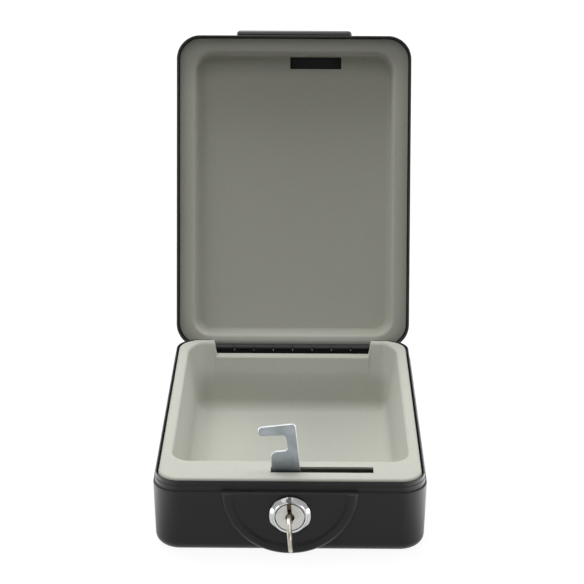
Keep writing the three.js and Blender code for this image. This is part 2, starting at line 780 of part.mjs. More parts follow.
class Coil extends THREE.Curve {
  getPoint(t, target = new THREE.Vector3()) {
    const angle = 2 * Math.PI * SPRING_TURNS * t;
    const rise = SPRING_LENGTH - 2 * SPRING_WIRE_R;
    const x = SPRING_R * Math.cos(angle);
    const y = SPRING_R * Math.sin(angle);
    return target.set(x, y, SPRING_WIRE_R + rise * t);
  }
}

function waferSpring(i) {
  const section = new THREE.Shape();
  section.absarc(0, 0, SPRING_WIRE_R, 0, 2 * Math.PI, false);
  const coil = new THREE.ExtrudeGeometry(section, {
    steps: SPRING_TURNS * SPRING_STEPS,
    curveSegments: 3,
    extrudePath: new Coil(),
  });
  const x = WAFER_WIDTH / 2 + FIT + WAFER_FOOT / 2;
  const z = footBottom - FIT - SPRING_LENGTH;
  return solid(coil.translate(x, waferY(i), z));
}

// Hook: a flat cam, drawn in the frame of the case because it meets the lid there

function hookShape() {
  const x = (value) => value - LOCK_X;
  const z = (value) => value - LOCK_Z;
  const top = (side) => Math.sqrt(HOOK_REACH ** 2 - side ** 2) - HOOK_EASE;
  const slant = HOOK_TIP_LEFT + HOOK_TIP_SLANT;
  return rounded([
    [x(HOOK_RIGHT), 0, HOOK_HUB_CORNER_R],
    [x(HOOK_TOP_RIGHT), top(HOOK_TOP_RIGHT), HOOK_TOP_R],
    [x(HOOK_TIP_TOP), top(HOOK_TIP_TOP), HOOK_TOP_R],
    [x(HOOK_TIP_LEFT), z(HOOK_TIP_Z), HOOK_TIP_R],
    [x(slant), z(HOOK_FINGER_Z - HOOK_FINGER_DROP), HOOK_NOTCH_R],
    [x(HOOK_NECK_LEFT - HOOK_NECK_LEAN), z(HOOK_FINGER_Z), HOOK_NOTCH_R],
    [x(HOOK_NECK_LEFT + HOOK_NECK_STEP), z(HOOK_SHOULDER_Z), HOOK_NOTCH_R],
    [x(HOOK_FOOT_LEFT), z(HOOK_SHOULDER_Z - HOOK_NECK_LEAN), HOOK_FOOT_R],
    [x(HOOK_FOOT_LEFT + HOOK_NECK_STEP), z(SHOULDER_Z), HOOK_SIDE_R],
    [-HOOK_HUB_LEFT, 0, HOOK_HUB_CORNER_R],
    [-HOOK_HUB_R / 2, -HOOK_HUB_R, HOOK_FOOT_R],
    [HOOK_HUB_R / 2, -HOOK_HUB_R, HOOK_FOOT_R],
  ]);
}

function latchHook() {
  const half = HOOK_SQUARE / 2 + FIT;
  const square = block(-half, half, -FAR, FAR, -half, half).rotate([0, -LOCK_TILT, 0]);
  return plateXZ(hookShape(), hookFront, hookBack).subtract(square);
}

function hookScrew() {
  const head = hookBack + FIT;
  const dome = turned([
    [0, head - SCREW_LENGTH],
    [SCREW_R, head - SCREW_LENGTH],
    [SCREW_R, head],
    [SCREW_HEAD_R, head],
    [SCREW_HEAD_R, head + SCREW_HEAD / 2],
    [SCREW_HEAD_R * SCREW_CROWN, head + SCREW_HEAD],
    [0, head + SCREW_HEAD],
  ], 3 * ARC_STEPS);
  const arm = [-SCREW_CROSS / 2, SCREW_CROSS / 2];
  const width = [-SCREW_CROSS_WIDTH / 2, SCREW_CROSS_WIDTH / 2];
  const depth = [head + SCREW_HEAD / 2, FAR];
  const cross = block(...arm, ...depth, ...width).add(block(...width, ...depth, ...arm));
  return dome.subtract(cross);
}

// Key

function keyBlade() {
  const half = KEY_BLADE_WIDTH / 2;
  const thick = KEY_BLADE_THICKNESS / 2;
  const end = lockFace + KEY_BLADE_IN;
  const start = lockFace - KEY_BOW_REACH + KEY_BOW_R / 2;
  let blade = block(-thick, thick, start, end, -half, half);
  for (let i = 0; i < WAFER_COUNT; i++) {
    const side = i % 2 ? 1 : -1;
    const notch = rod("x", KEY_NOTCH_R, -FAR, FAR, 4);
    const height = half + KEY_NOTCH_R - KEY_CUT;
    blade = blade.subtract(notch.translate([0, waferY(i), side * height]));
  }
  return blade;
}

function key() {
  const centre = lockFace - KEY_BOW_REACH;
  const thick = KEY_BOW_THICKNESS / 2;
  const bow = rod("x", KEY_BOW_R, -thick, thick, 5 * ARC_STEPS).translate([0, centre, 0]);
  const hole = rod("x", KEY_HOLE_R, -FAR, FAR, 3 * ARC_STEPS);
  return bow.add(keyBlade()).subtract(hole.translate([0, centre - KEY_HOLE_OUT, 0]));
}

// Handle, built in a frame on the lid's front wall: x along the case, -y out of the wall,
// z up the closed lid, with z = 0 at the pins

const bracketOuter = GRIP_HALF - GRIP_ARM - BRACKET_GAP;
const bracketInner = bracketOuter - BRACKET_FOOT;
const earFrom = bracketOuter - BRACKET_EAR;
const rivetX = bracketInner + RIVET_HEAD_R + FIT;

function rivetPlaces() {
  const places = [];
  for (const side of [-1, 1]) {
    for (const step of [-1, 1]) {
      places.push([side * rivetX, HANDLE_PIVOT_RISE + (step * RIVET_SPACING) / 2]);
    }
  }
  return places;
}

function handleGrip() {
  const low = -GRIP_REACH;
  const outline = rounded([
    [-GRIP_HALF, -GRIP_FLOAT, 0],
    [-GRIP_HALF, -GRIP_TOP, GRIP_END_R],
    [GRIP_HALF, -GRIP_TOP, GRIP_END_R],
    [GRIP_HALF, -GRIP_FLOAT, 0],
  ]);
  const slab = plateXY(outline, low, 0);
  const side = rounded([
    [-GRIP_FLOAT, low, GRIP_BACK_R],
    [-GRIP_TOP, low, GRIP_EDGE_R],
    [-GRIP_TOP, low + GRIP_BAR, GRIP_EDGE_R],
    [-HANDLE_PIN_OUT - ARM_EYE_R, low + GRIP_BAR + GRIP_SLOPE, 0],
    [-HANDLE_PIN_OUT - ARM_EYE_R, 0, 0],
    [-HANDLE_PIN_OUT + ARM_EYE_R, 0, 0],
  ]);
  const section = new THREE.ExtrudeGeometry(side, {
    depth: 2 * GRIP_HALF,
    bevelEnabled: false,
    curveSegments: ARC_STEPS,
  });
  section.applyMatrix4(
    new THREE.Matrix4().makeBasis(
      new THREE.Vector3(0, 1, 0),
      new THREE.Vector3(0, 0, 1),
      new THREE.Vector3(1, 0, 0)
    )
  );
  const inside = GRIP_HALF - GRIP_ARM;
  const window = block(-inside, inside, -FAR, FAR, low + GRIP_BAR, FAR);
  const eye = rod("x", ARM_EYE_R, -GRIP_HALF, GRIP_HALF, 2 * ARC_STEPS);
  const bore = rod("x", HANDLE_BORE_R, -FAR, FAR, 2 * ARC_STEPS);
  return slab
    .intersect(solid(section.translate(-GRIP_HALF, 0, 0)))
    .add(eye.translate([0, -HANDLE_PIN_OUT, 0]))
    .subtract(window)
    .subtract(bore.translate([0, -HANDLE_PIN_OUT, 0]));
}

function handleBracket(side) {
  const half = BRACKET_HEIGHT / 2;
  const face = -FIT - BRACKET_PLATE;
  const plate = block(bracketInner, bracketOuter, face, -FIT, -half, half);
  const eye = rod("x", ARM_EYE_R, earFrom, bracketOuter, 2 * ARC_STEPS);
  const wall = [-HANDLE_PIN_OUT, -FIT];
  const web = block(earFrom, bracketOuter, ...wall, -ARM_EYE_R, ARM_EYE_R);
  const bore = rod("x", HANDLE_BORE_R, -FAR, FAR, 2 * ARC_STEPS);
  let bracket = plate.add(eye.translate([0, -HANDLE_PIN_OUT, 0])).add(web);
  bracket = bracket.subtract(bore.translate([0, -HANDLE_PIN_OUT, 0]));
  for (const step of [-1, 1]) {
    const hole = rod("y", RIVET_R + FIT / 2, -FAR, FAR, 2 * ARC_STEPS);
    bracket = bracket.subtract(hole.translate([rivetX, 0, (step * RIVET_SPACING) / 2]));
  }
  return side > 0 ? bracket : bracket.mirror([1, 0, 0]);
}

function handlePin(side) {
  const from = earFrom + FIT;
  const to = GRIP_HALF - GRIP_ARM / 2;
  const pin = rod("x", HANDLE_PIN_R, from, to, 2 * ARC_STEPS).translate([0, -HANDLE_PIN_OUT, 0]);
  return side > 0 ? pin : pin.mirror([1, 0, 0]);
}

function bracketRivet([x, z]) {
  const face = -2 * FIT - BRACKET_PLATE;
  const tail = SHEET + FIT;
  const rivet = turned([
    [0, face - RIVET_HEAD],
    [RIVET_HEAD_R / 2, face - RIVET_HEAD],
    [RIVET_HEAD_R, face],
    [RIVET_R, face],
    [RIVET_R, tail],
    [RIVET_HEAD_R, tail],
    [RIVET_HEAD_R, tail + RIVET_HEAD],
    [0, tail + RIVET_HEAD],
  ], 2 * ARC_STEPS);
  return rivet.translate([x, 0, z - HANDLE_PIVOT_RISE]);
}

// Assembly

function handleGroup() {
  const sides = [["left", -1], ["right", 1]];
  const parts = [part("handle_grip", handleGrip(), blackPlastic)];
  for (const [name, side] of sides) {
    parts.push(part("handle_bracket_" + name, handleBracket(side), blackCoat));
    parts.push(part("handle_pin_" + name, handlePin(side), chromed));
  }
  rivetPlaces().forEach((place, i) => {
    parts.push(part("bracket_rivet_" + (i + 1), bracketRivet(place), blackCoat));
  });
  const y = -DEPTH + lean(HANDLE_PIVOT_RISE);
  const made = group(parts, 0, y, HANDLE_PIVOT_RISE);
  made.rotation.x = -rad(DRAFT);
  return made;
}

function lidGroup() {
  const lid = group(
    [
      part("lid_shell", lidShell(), blackCoat),
      part("lid_liner", lidLiner(), lidFlock),
      part("latch_catch", latchCatch(), blackCoat),
      part("lid_hinge_leaf", hingeLeaf(1).mirror([0, 0, 1]), blackCoat),
      handleGroup(),
    ],
    0,
    HALF_D,
    SHOULDER_Z
  );
  lid.rotation.x = -rad(OPEN_ANGLE);
  return lid;
}

function lockGroup() {
  const fixed = [
    part("lock_housing", lockHousing(), chromed),
    part("lock_washer", lockWasher(), zincPlate),
    part("lock_nut", lockNut(), zincPlate),
    part("latch_hook", latchHook(), zincPlate),
  ];
  const turning = [
    part("lock_plug", lockPlug(), nickel),
    part("hook_screw", hookScrew(), zincPlate),
    part("key", key(), nickel),
  ];
  for (let i = 0; i < WAFER_COUNT; i++) {
    turning.push(part("wafer_" + (i + 1), wafer(i), brass));
    turning.push(part("wafer_spring_" + (i + 1), waferSpring(i), springSteel));
  }
  const plug = group(turning);
  plug.rotation.y = -rad(LOCK_TILT);
  return group([...fixed, plug], LOCK_X, -HALF_D, LOCK_Z);
}

const hinge = group(
  [
    part("base_hinge_leaf", hingeLeaf(0), blackCoat),
    part("hinge_pin", hingePin(), blackCoat),
  ],
  0,
  HALF_D,
  SHOULDER_Z
);

const safe = group([
  part("base_shell", baseShell(), blackCoat),
  part("base_liner", baseLiner(), flock),
  hinge,
  lidGroup(),
  lockGroup(),
]);
safe.name = "portable_car_safe";

export default safe;
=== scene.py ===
"""A portable car safe, standing open: black pressed steel, flocked linings, a wafer
lock with its hook and key, a piano hinge and a folding handle. Lengths are in
millimetres and become metres when a mesh is made."""

import math

import bmesh
import bpy
from mathutils import Matrix, Vector


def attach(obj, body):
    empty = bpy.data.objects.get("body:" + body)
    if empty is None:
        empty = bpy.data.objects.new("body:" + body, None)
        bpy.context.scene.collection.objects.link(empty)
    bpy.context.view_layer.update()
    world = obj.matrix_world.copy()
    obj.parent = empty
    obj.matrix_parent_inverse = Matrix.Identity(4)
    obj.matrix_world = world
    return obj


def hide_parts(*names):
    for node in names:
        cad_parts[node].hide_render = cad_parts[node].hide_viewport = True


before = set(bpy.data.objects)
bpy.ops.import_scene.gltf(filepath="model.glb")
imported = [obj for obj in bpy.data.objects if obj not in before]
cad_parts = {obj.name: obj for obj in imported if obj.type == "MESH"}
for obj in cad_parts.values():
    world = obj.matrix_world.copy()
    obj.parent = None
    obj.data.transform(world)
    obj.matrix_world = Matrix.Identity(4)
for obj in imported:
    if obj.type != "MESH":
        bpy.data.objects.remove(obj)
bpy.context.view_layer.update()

MM = 0.001

# Case
WIDTH, DEPTH = 180, 240
HALF_W, HALF_D = WIDTH / 2, DEPTH / 2
CORNER_R = 18
SHEET = 1
SHOULDER_Z = 44.5
EDGE_R = 7
DRAFT = 1.4
LIP_INSET, LIP_RISE = 1.5, 7.3
LIP_TOP = SHOULDER_Z + LIP_RISE
LID_RISE = 45.5
RIM_GAP = 0.3
OPEN_ANGLE = 107.5
FIT = 0.3
RIM_R = SHEET / 2  # rounded edge of the sheet
BAND_INSET, BAND_Z, BAND_R = 1.15, 48.3, 0.3  # step at the foot of the lip
CORNER_STEPS = 14  # samples round each corner, seen from above

# Hinge
HINGE_LENGTH, KNUCKLES = 120, 8
KNUCKLE_R, KNUCKLE_GAP = 2.15, 0.12
PIN_R, BORE_R = 1.0, 1.3
LEAF, LEAF_REACH, HINGE_CLEAR = 0.6, 9, 0.15
NOTCH_FLARE = 2.5
NOTCH_HALF = HINGE_LENGTH / 2 + HINGE_CLEAR

# Box lining
LINER = 1.5
LEDGE_Z, LEDGE_R, SKIRT_Z = 52.2, 2.4, 46
SIDE_LEDGE, FRONT_LEDGE, BACK_LEDGE = 9.2, 29, 13
TRAY_CORNER_R, TRAY_FLOOR_Z, TRAY_DRAFT, TRAY_FILLET, TRAY_EDGE_R = 15, 4.5, 9, 9, 2
SADDLE_Z, SADDLE_HALF, SADDLE_BACK = 43, 58, 6.4  # lowered ledge beside the hinge
EAR_BACK, EAR_END, EAR_FADE, EAR_RUN = 6.2, 80, 10, 6  # the wall leans back to the ears
BACK_LEAN, BACK_REACH = 5, 40  # the tray's back wall comes forward at its foot
LEDGE_GAP = 0.9  # between the lip and the lining's ledge
UNDER_TURN = 0.4  # a lining's underside turns into its wall this far behind the tray
SADDLE_FOOT = 30  # the back wall is drawn down from this height up

# Lid lining
LID_LINER = 1
LID_LEDGE_DEPTH, LID_SKIRT, LID_LEDGE_R, LID_CROWN = 9.6, 6, 0.8, 0.3
LID_SIDE, LID_FRONT, LID_BACK = 10.7, 9.7, 6.3
LID_FLOOR, LID_DRAFT, LID_FILLET, LID_EDGE_R, LID_CORNER_R = 29.5, 4, 3, 3, 16

# Lock boss
BOSS_R, BOSS_Z, BOSS_CAP = 44.8, 45.2, 1.5
BOSS_FACE, BOSS_RIDGE, BOSS_RIDGE_WIDTH = 2.2, 3.6, 8.5
BOSS_SLOPE, BOSS_BROW = 3, 3.4  # the ridge's inner slope and its outer rounding
BOSS_STEPS = 10  # samples across each of them

# Lock, key and hook, about the lock's axis with y = 0 on the outside of the front wall
LOCK_X, LOCK_Z, LOCK_TILT = 0.2, 29.5, 4.5
BEZEL_R, BEZEL_FLAT_R, BEZEL_RISE, BEZEL_BRIM = 13.65, 11.4, 3.6, 1.4
BODY_R, BODY_LENGTH, FACE_R, FACE_THICK, PLUG_R = 9.4, 16.6, 9.4, 2.6, 6.5
BOSS_SEAT = -BOSS_FACE - FIT
LOCK_FACE = BOSS_SEAT - BEZEL_RISE
BODY_BACK = BOSS_SEAT + BODY_LENGTH
KEYWAY_W, KEYWAY_H, KEYHOLE_R, KEYHOLE_DEPTH = 2.8, 8.8, 3.1, 2.2
MARK = (-2.5, 1.1, 10.9, 14, 2.4)  # sunk mark at the bezel's top: x, z and depth
WAFERS, WAFER_FIRST, WAFER_PITCH, WAFER_W, WAFER_THICK = 5, 5.4, 2.7, 5.4, 1
HOOK_FRONT, HOOK_THICK, HOOK_REACH, HOOK_SQUARE = 16.4, 2, 57, 7
TAP_R, TAP_START = 2.05, 12
KEY_BLADE_W, KEY_BLADE_T, KEY_BLADE_IN = 7.4, 1.9, 17
KEY_BOW_R, KEY_BOW_REACH, KEY_BOW_T, KEY_HOLE_R, KEY_HOLE_OUT = 11.8, 21.5, 2.3, 3, 4.2
KEY_TIP, KEY_TIP_HALF = 2.2, 0.6
KEY_CUT, KEY_CUT_FOOT, KEY_CUT_TOP = 1.1, 0.5, 1.2  # depth and two half widths

# Slots
LEDGE_SLOT = (-12.7, 54.7, 13.5, 8.2)  # left, right, from the front of the case, width
CATCH_SLOT = (-3.2, 36.8, 14.6, 9.2)

# Handle
HANDLE_RISE, PIN_OUT, HANDLE_PIN_R, HANDLE_BORE_R = 27.5, 2.3, 1.1, 1.2
GRIP_HALF, GRIP_REACH, GRIP_BAR, GRIP_ARM = 44.6, 21, 9, 6.4
GRIP_FLOAT, GRIP_TOP, GRIP_END_R, EYE_R = 0.5, 4.6, 3.8, 1.9
GRIP_TIP_R, GRIP_INNER_R, GRIP_OUTER_R = 1.2, 2.5, 3
GRIP_EDGES = (1.2, 2.3, 1.5, 0.5)  # radii of its long edges, from the bar's back round
BRACKET_GAP, BRACKET_W = 0.8, 4.6
EAR_FACE = GRIP_HALF - GRIP_ARM - BRACKET_GAP  # the brackets stand inside the grip's arms
BRACKET_FOOT = EAR_FACE - BRACKET_W
BRACKET_EAR, BRACKET_H, BRACKET_T = 1.8, 15, 1.6
RIVET_R, RIVET_HEAD_R, RIVET_HEAD, RIVET_STEP = 1.2, 1.9, 0.7, 10
WEB_REACH, WEB_RISE, WEB_ROOT = 3.6, 2.2, 0.35  # the web between foot and ear
RIVET_X = BRACKET_FOOT + RIVET_HEAD_R + FIT


def lean(height):
    return height * math.tan(math.radians(DRAFT))


LID = Matrix.Translation((0, HALF_D * MM, SHOULDER_Z * MM)) @ Matrix.Rotation(
    -math.radians(OPEN_ANGLE), 4, "X"
)
HANDLE = (
    LID
    @ Matrix.Translation((0, (lean(HANDLE_RISE) - DEPTH) * MM, HANDLE_RISE * MM))
    @ Matrix.Rotation(-math.radians(DRAFT), 4, "X")
)
HINGE = Matrix.Translation((0, HALF_D * MM, SHOULDER_Z * MM))
LOCK = Matrix.Translation((LOCK_X * MM, -HALF_D * MM, LOCK_Z * MM))
PLUG = LOCK @ Matrix.Rotation(-math.radians(LOCK_TILT), 4, "Y")
PIN_SHIFT = Matrix.Translation((0, -PIN_OUT * MM, 0))


# Finishes: shader nodes written as sums


class Wire:
    """A number that varies over a surface. Sums and products on it add Math nodes."""

    def __init__(self, finish, socket):
        self.finish, self.socket = finish, socket

    def _sum(self, operation, first, second):
        return self.finish.node(
            "ShaderNodeMath", {"operation": operation}, {0: first, 1: second}
        )

    def __add__(self, other):
        return self._sum("ADD", self, other)

    def __radd__(self, other):
        return self._sum("ADD", other, self)

    def __sub__(self, other):
        return self._sum("SUBTRACT", self, other)

    def __rsub__(self, other):
        return self._sum("SUBTRACT", other, self)

    def __mul__(self, other):
        return self._sum("MULTIPLY", self, other)

    def __rmul__(self, other):
        return self._sum("MULTIPLY", other, self)

    def __truediv__(self, other):
        return self._sum("DIVIDE", self, other)

    def __pow__(self, other):
        return self._sum("POWER", self, other)

    def above(self, low, high):
        """0 below low, 1 above high, eased between."""
        return self.finish.node(
            "ShaderNodeMapRange",
            {"interpolation_type": "SMOOTHSTEP"},
            {"Value": self, "From Min": low, "From Max": high},
        )


class Nodes:
    """A node tree and a short way to add to it."""

    def __init__(self, tree):
        self.tree = tree

    def node(self, kind, settings=None, inputs=None, output=0):
        made = self.tree.nodes.new(kind)
        for key, value in (settings or {}).items():
            if key == "stops":
                stops = made.color_ramp.elements
                while len(stops) < len(value):
                    stops.new(1)
                for stop, (place, colour) in zip(stops, value):
                    stop.position, stop.color = place, (*colour, 1)
            else:
                setattr(made, key, value)
        for key, value in (inputs or {}).items():
            if isinstance(value, Wire):
                self.tree.links.new(value.socket, made.inputs[key])
            else:
                made.inputs[key].default_value = value
        return Wire(self, made.outputs[output])


class Finish(Nodes):
    """One material: a Principled shader and the nodes that feed it."""

    def __init__(self, name, **constants):
        self.material = bpy.data.materials.new(name)
        self.material.use_nodes = True
        super().__init__(self.material.node_tree)
        self.shader = self.tree.nodes["Principled BSDF"]
        for socket, value in constants.items():
            self.shader.inputs[socket.replace("_", " ")].default_value = value

    def place(self, centre=(0, 0, 0), scale=(1, 1, 1)):
        """Object coordinates about a centre in metres, stretched by a scale."""
        coordinates = self.node("ShaderNodeTexCoord", output="Object")
        moved = self.node(
            "ShaderNodeVectorMath",
            {"operation": "SUBTRACT"},
            {0: coordinates, 1: centre},
        )
        return self.node(
            "ShaderNodeVectorMath", {"operation": "MULTIPLY"}, {0: moved, 1: scale}
        )

    def parts(self, vector):
        made = self.tree.nodes.new("ShaderNodeSeparateXYZ")
        self.tree.links.new(vector.socket, made.inputs[0])
        return [Wire(self, out) for out in made.outputs]

    def noise(self, size, detail=2.0, rough=0.5, vector=None):
        """Noise whose grains are about size millimetres across."""
        return self.node(
            "ShaderNodeTexNoise",
            None,
            {
                "Vector": vector or self.place(),
                "Scale": 1 / (size * MM),
                "Detail": detail,
                "Roughness": rough,
            },
        )

    def mix(self, factor, first, second):
        """One colour turning into another."""
        colours = {0: factor}
        for key, colour in ((6, first), (7, second)):
            colours[key] = colour if isinstance(colour, Wire) else (*colour, 1)
        return self.node("ShaderNodeMix", {"data_type": "RGBA"}, colours, output=2)

    def bump(self, height, depth, strength=1.0):
        """A relief of depth millimetres."""
        return self.node(
            "ShaderNodeBump",
            None,
            {"Height": height, "Distance": depth * MM, "Strength": strength},
        )

    def feed(self, **links):
        for socket, wire in links.items():
            self.tree.links.new(
                wire.socket, self.shader.inputs[socket.replace("_", " ")]
            )
        return self.material


def powder_coat():
    finish = Finish("powder_coat", Specular_IOR_Level=0.16)
    peel = finish.noise(1.1, 3, 0.55)
    drift = finish.noise(38, 2)
    dust = finish.noise(0.7, 1).above(0.72, 0.8) * drift
    # Faces that point upwards are painted lighter: painted light from above on the black
    # coat.
    _, _, level = finish.parts(finish.node("ShaderNodeTexCoord", output="Normal"))
    colour = finish.mix(drift, (0.0175, 0.0178, 0.0178), (0.026, 0.0265, 0.0265))
    colour = finish.mix(level.above(0.5, 1), colour, (0.042, 0.042, 0.041))
    return finish.feed(
        Base_Color=finish.mix(dust * 0.5, colour, (0.11, 0.11, 0.1)),
        Roughness=0.36 + 0.1 * peel + 0.06 * drift,
        Normal=finish.bump(peel, 0.045, 0.35),
    )


def hinge_coat():
    finish = Finish("hinge_coat", Specular_IOR_Level=0.25)
    grain = finish.noise(0.6, 3)
    along = finish.noise(2.4, 2, 0.6, finish.place(scale=(0.25, 1, 1)))
    return finish.feed(
        Base_Color=finish.mix(along, (0.01, 0.01, 0.0105), (0.022, 0.022, 0.022)),
        Roughness=0.3 + 0.2 * along,
        Normal=finish.bump(grain, 0.03, 0.4),
    )


def flock(name, deep, mid, pale):
    """Short fibres: fine speckle, slow clouding and a soft nap."""
    finish = Finish(name, Sheen_Weight=0.12, Sheen_Roughness=0.6, Specular_IOR_Level=0.1)
    fibre = finish.noise(0.42, 4, 0.75)
    speck = finish.noise(0.9, 2, 0.6)
    cloud = finish.noise(26, 3, 0.55)
    tone = finish.mix(fibre.above(0.3, 0.7), deep, pale)
    tone = finish.mix(speck.above(0.35, 0.75) * 0.5, tone, mid)
    return finish.feed(
        Base_Color=finish.mix(cloud.above(0.3, 0.8) * 0.35, tone, mid),
        Roughness=0.9 + 0.1 * cloud,
        Normal=finish.bump(fibre + 0.6 * speck, 0.16, 0.55),
    )


def chrome_plate():
    finish = Finish("chrome_plate")
    haze = finish.noise(6, 3, 0.6)
    swirl = finish.noise(0.25, 2, 0.5)
    return finish.feed(
        Base_Color=finish.mix(haze, (0.28, 0.283, 0.285), (0.4, 0.403, 0.406)),
        Metallic=0.98 + 0.02 * haze,
        Roughness=0.06 + 0.1 * haze.above(0.4, 0.9),
        Normal=finish.bump(swirl, 0.004, 0.3),
    )


def turned_nickel():
    """Satin nickel with fine turning marks about the lock's axis."""
    finish = Finish("turned_nickel")
    x, y, z = finish.parts(finish.place(LOCK.to_translation()))
    radius = (x * x + z * z) ** 0.5
    rings = finish.node(
        "ShaderNodeTexNoise",
        {"noise_dimensions": "1D"},
        {"W": radius, "Scale": 5200, "Detail": 3.0},
    )
    blotch = finish.noise(3.5, 3)
    colour = finish.mix(blotch, (0.3, 0.3, 0.285), (0.4, 0.4, 0.38))
    # Whatever lies deeper than the face, the keyway and the keyhole's recess, is painted a
    # dark brass brown: the brass seen in there, darkened with painted shade.
    sunk = y.above((LOCK_FACE + 0.6) * MM, (LOCK_FACE + 1.6) * MM)
    return finish.feed(
        Base_Color=finish.mix(sunk, colour, (0.075, 0.055, 0.032)),
        Metallic=0.9 + 0.1 * blotch,
        Roughness=0.3 + 0.14 * rings + 0.06 * blotch,
        Normal=finish.bump(rings, 0.012, 0.5),
    )


def zinc_plate():
    """Bluish zinc on rolled steel: long faint streaks and a cloudy bloom."""
    finish = Finish("zinc_plate")
    streak = finish.noise(1.1, 3, 0.6, finish.place(scale=(1, 1, 0.12)))
    bloom = finish.noise(9, 4, 0.6)
    fine = finish.noise(0.35, 2)
    colour = finish.mix(bloom.above(0.3, 0.75), (0.13, 0.145, 0.15), (0.2, 0.22, 0.23))
    # The plate's edges, the faces that turn away from the lock's axis, are painted pale: a
    # painted highlight along the edges.
    _, facing, _ = finish.parts(finish.node("ShaderNodeTexCoord", output="Normal"))
    painted_edge_highlight = 1 - (facing * facing).above(0.5, 0.9)
    colour = finish.mix(streak * 0.5, colour, (0.22, 0.24, 0.245))
    return finish.feed(
        Base_Color=finish.mix(painted_edge_highlight, colour, (0.5, 0.52, 0.53)),
        Metallic=0.85 + 0.1 * bloom,
        Roughness=0.3 + 0.12 * streak + 0.12 * bloom,
        Normal=finish.bump(streak + 0.4 * fine, 0.02, 0.4),
    )


def key_metal():
    finish = Finish("key_metal")
    scratch = finish.noise(0.5, 3, 0.6, finish.place(scale=(1, 0.1, 1)))
    wear = finish.noise(4, 3)
    return finish.feed(
        Base_Color=finish.mix(wear, (0.2, 0.185, 0.155), (0.36, 0.345, 0.3)),
        Metallic=0.92 + 0.08 * wear,
        Roughness=0.2 + 0.14 * scratch + 0.1 * wear,
        Normal=finish.bump(scratch, 0.01, 0.4),
    )


def plain_metal(name, dark, light, grain_size):
    finish = Finish(name)
    grain = finish.noise(grain_size, 3)
    return finish.feed(
        Base_Color=finish.mix(grain, dark, light),
        Metallic=0.9 + 0.1 * grain,
        Roughness=0.26 + 0.2 * grain,
        Normal=finish.bump(grain, 0.01, 0.4),
    )


def grip_plastic():
    finish = Finish("grip_plastic", Specular_IOR_Level=0.5)
    pebble = finish.noise(0.8, 2, 0.5)
    wave = finish.noise(14, 2)
    return finish.feed(
        Base_Color=finish.mix(wave, (0.012, 0.014, 0.0135), (0.026, 0.028, 0.027)),
        Roughness=0.26 + 0.12 * wave + 0.05 * pebble,
        Normal=finish.bump(pebble, 0.02, 0.3),
    )


COAT = powder_coat()
HINGE_COAT = hinge_coat()
BOX_FLOCK = flock(
    "box_flock", (0.385, 0.392, 0.34), (0.46, 0.465, 0.41), (0.53, 0.535, 0.48)
)
# The lid's lining is the same flock as the box's, painted about a tenth lighter: painted
# light for the lid, which the lamps light less.
LID_FLOCK_LIGHTENED = flock(
    "lid_flock", (0.42, 0.423, 0.364), (0.498, 0.5, 0.437), (0.577, 0.58, 0.515)
)
CHROME = chrome_plate()
NICKEL = turned_nickel()
ZINC = zinc_plate()
KEY_METAL = key_metal()
BRASS = plain_metal("wafer_brass", (0.42, 0.29, 0.11), (0.66, 0.5, 0.22), 0.8)
SPRING_WIRE = plain_metal("spring_wire", (0.4, 0.41, 0.42), (0.6, 0.61, 0.62), 0.4)
GRIP = grip_plastic()


# Meshes


def placed(name, data):
    made = bpy.data.objects.new(name, data)
    bpy.context.scene.collection.objects.link(made)
    return made


def discard(made):
    mesh = made.data
    bpy.data.objects.remove(made)
    bpy.data.meshes.remove(mesh)


def piece(name, points, faces, material, matrix=None):
    mesh = bpy.data.meshes.new(name)
    mesh.from_pydata([Vector(point) * MM for point in points], [], faces)
    if matrix:
        mesh.transform(matrix)
    mesh.update()
    mesh.materials.append(material)
    return placed(name, mesh)


def applied(made):
    """Turns a piece's modifiers into plain mesh."""
    bpy.context.view_layer.update()
    graph = bpy.context.evaluated_depsgraph_get()
    mesh = bpy.data.meshes.new_from_object(made.evaluated_get(graph))
    old = made.data
    made.modifiers.clear()
    made.data = mesh
    bpy.data.meshes.remove(old)
    mesh.name = made.name
    return made


def carve(made, cutters, operation="DIFFERENCE"):
    """Cuts away, adds or keeps other solids, one after the other."""
    for cutter in cutters:
        step = made.modifiers.new("carve", "BOOLEAN")
        step.operation, step.solver, step.object = operation, "EXACT", cutter
        applied(made)
        discard(cutter)
    return made


def eased(made, width, segments=2, angle=40):
    """Rounds the edges that are sharper than an angle."""
    step = made.modifiers.new("ease", "BEVEL")
    step.width, step.segments = width * MM, segments
    step.limit_method, step.angle_limit = "ANGLE", math.radians(angle)
    return applied(made)


def smoothed(made, angle=32):
    """Smooth shading with flat faces kept flat, and sharp edges kept sharp."""
    made.data.shade_smooth()
    made.data.set_sharp_from_angle(angle=math.radians(angle))
    step = made.modifiers.new("even", "WEIGHTED_NORMAL")
    step.keep_sharp = True
    return applied(made)


def joined(name, parts):
    """Several pieces as one mesh."""
    merged = bmesh.new()
    material = parts[0].data.materials[0]
    for made in parts:
        merged.from_mesh(made.data)
        discard(made)
    mesh = bpy.data.meshes.new(name)
    merged.to_mesh(mesh)
    merged.free()
    mesh.materials.append(material)
    return placed(name, mesh)


def arc(inset, z, radius, start, stop, steps=10):
    """Points of a rounded edge in a wall's profile, as (inset, z)."""
    points = []
    for i in range(steps + 1):
        angle = math.radians(start + (stop - start) * i / steps)
        points.append((inset - radius * math.cos(angle), z + radius * math.sin(angle)))
    return points


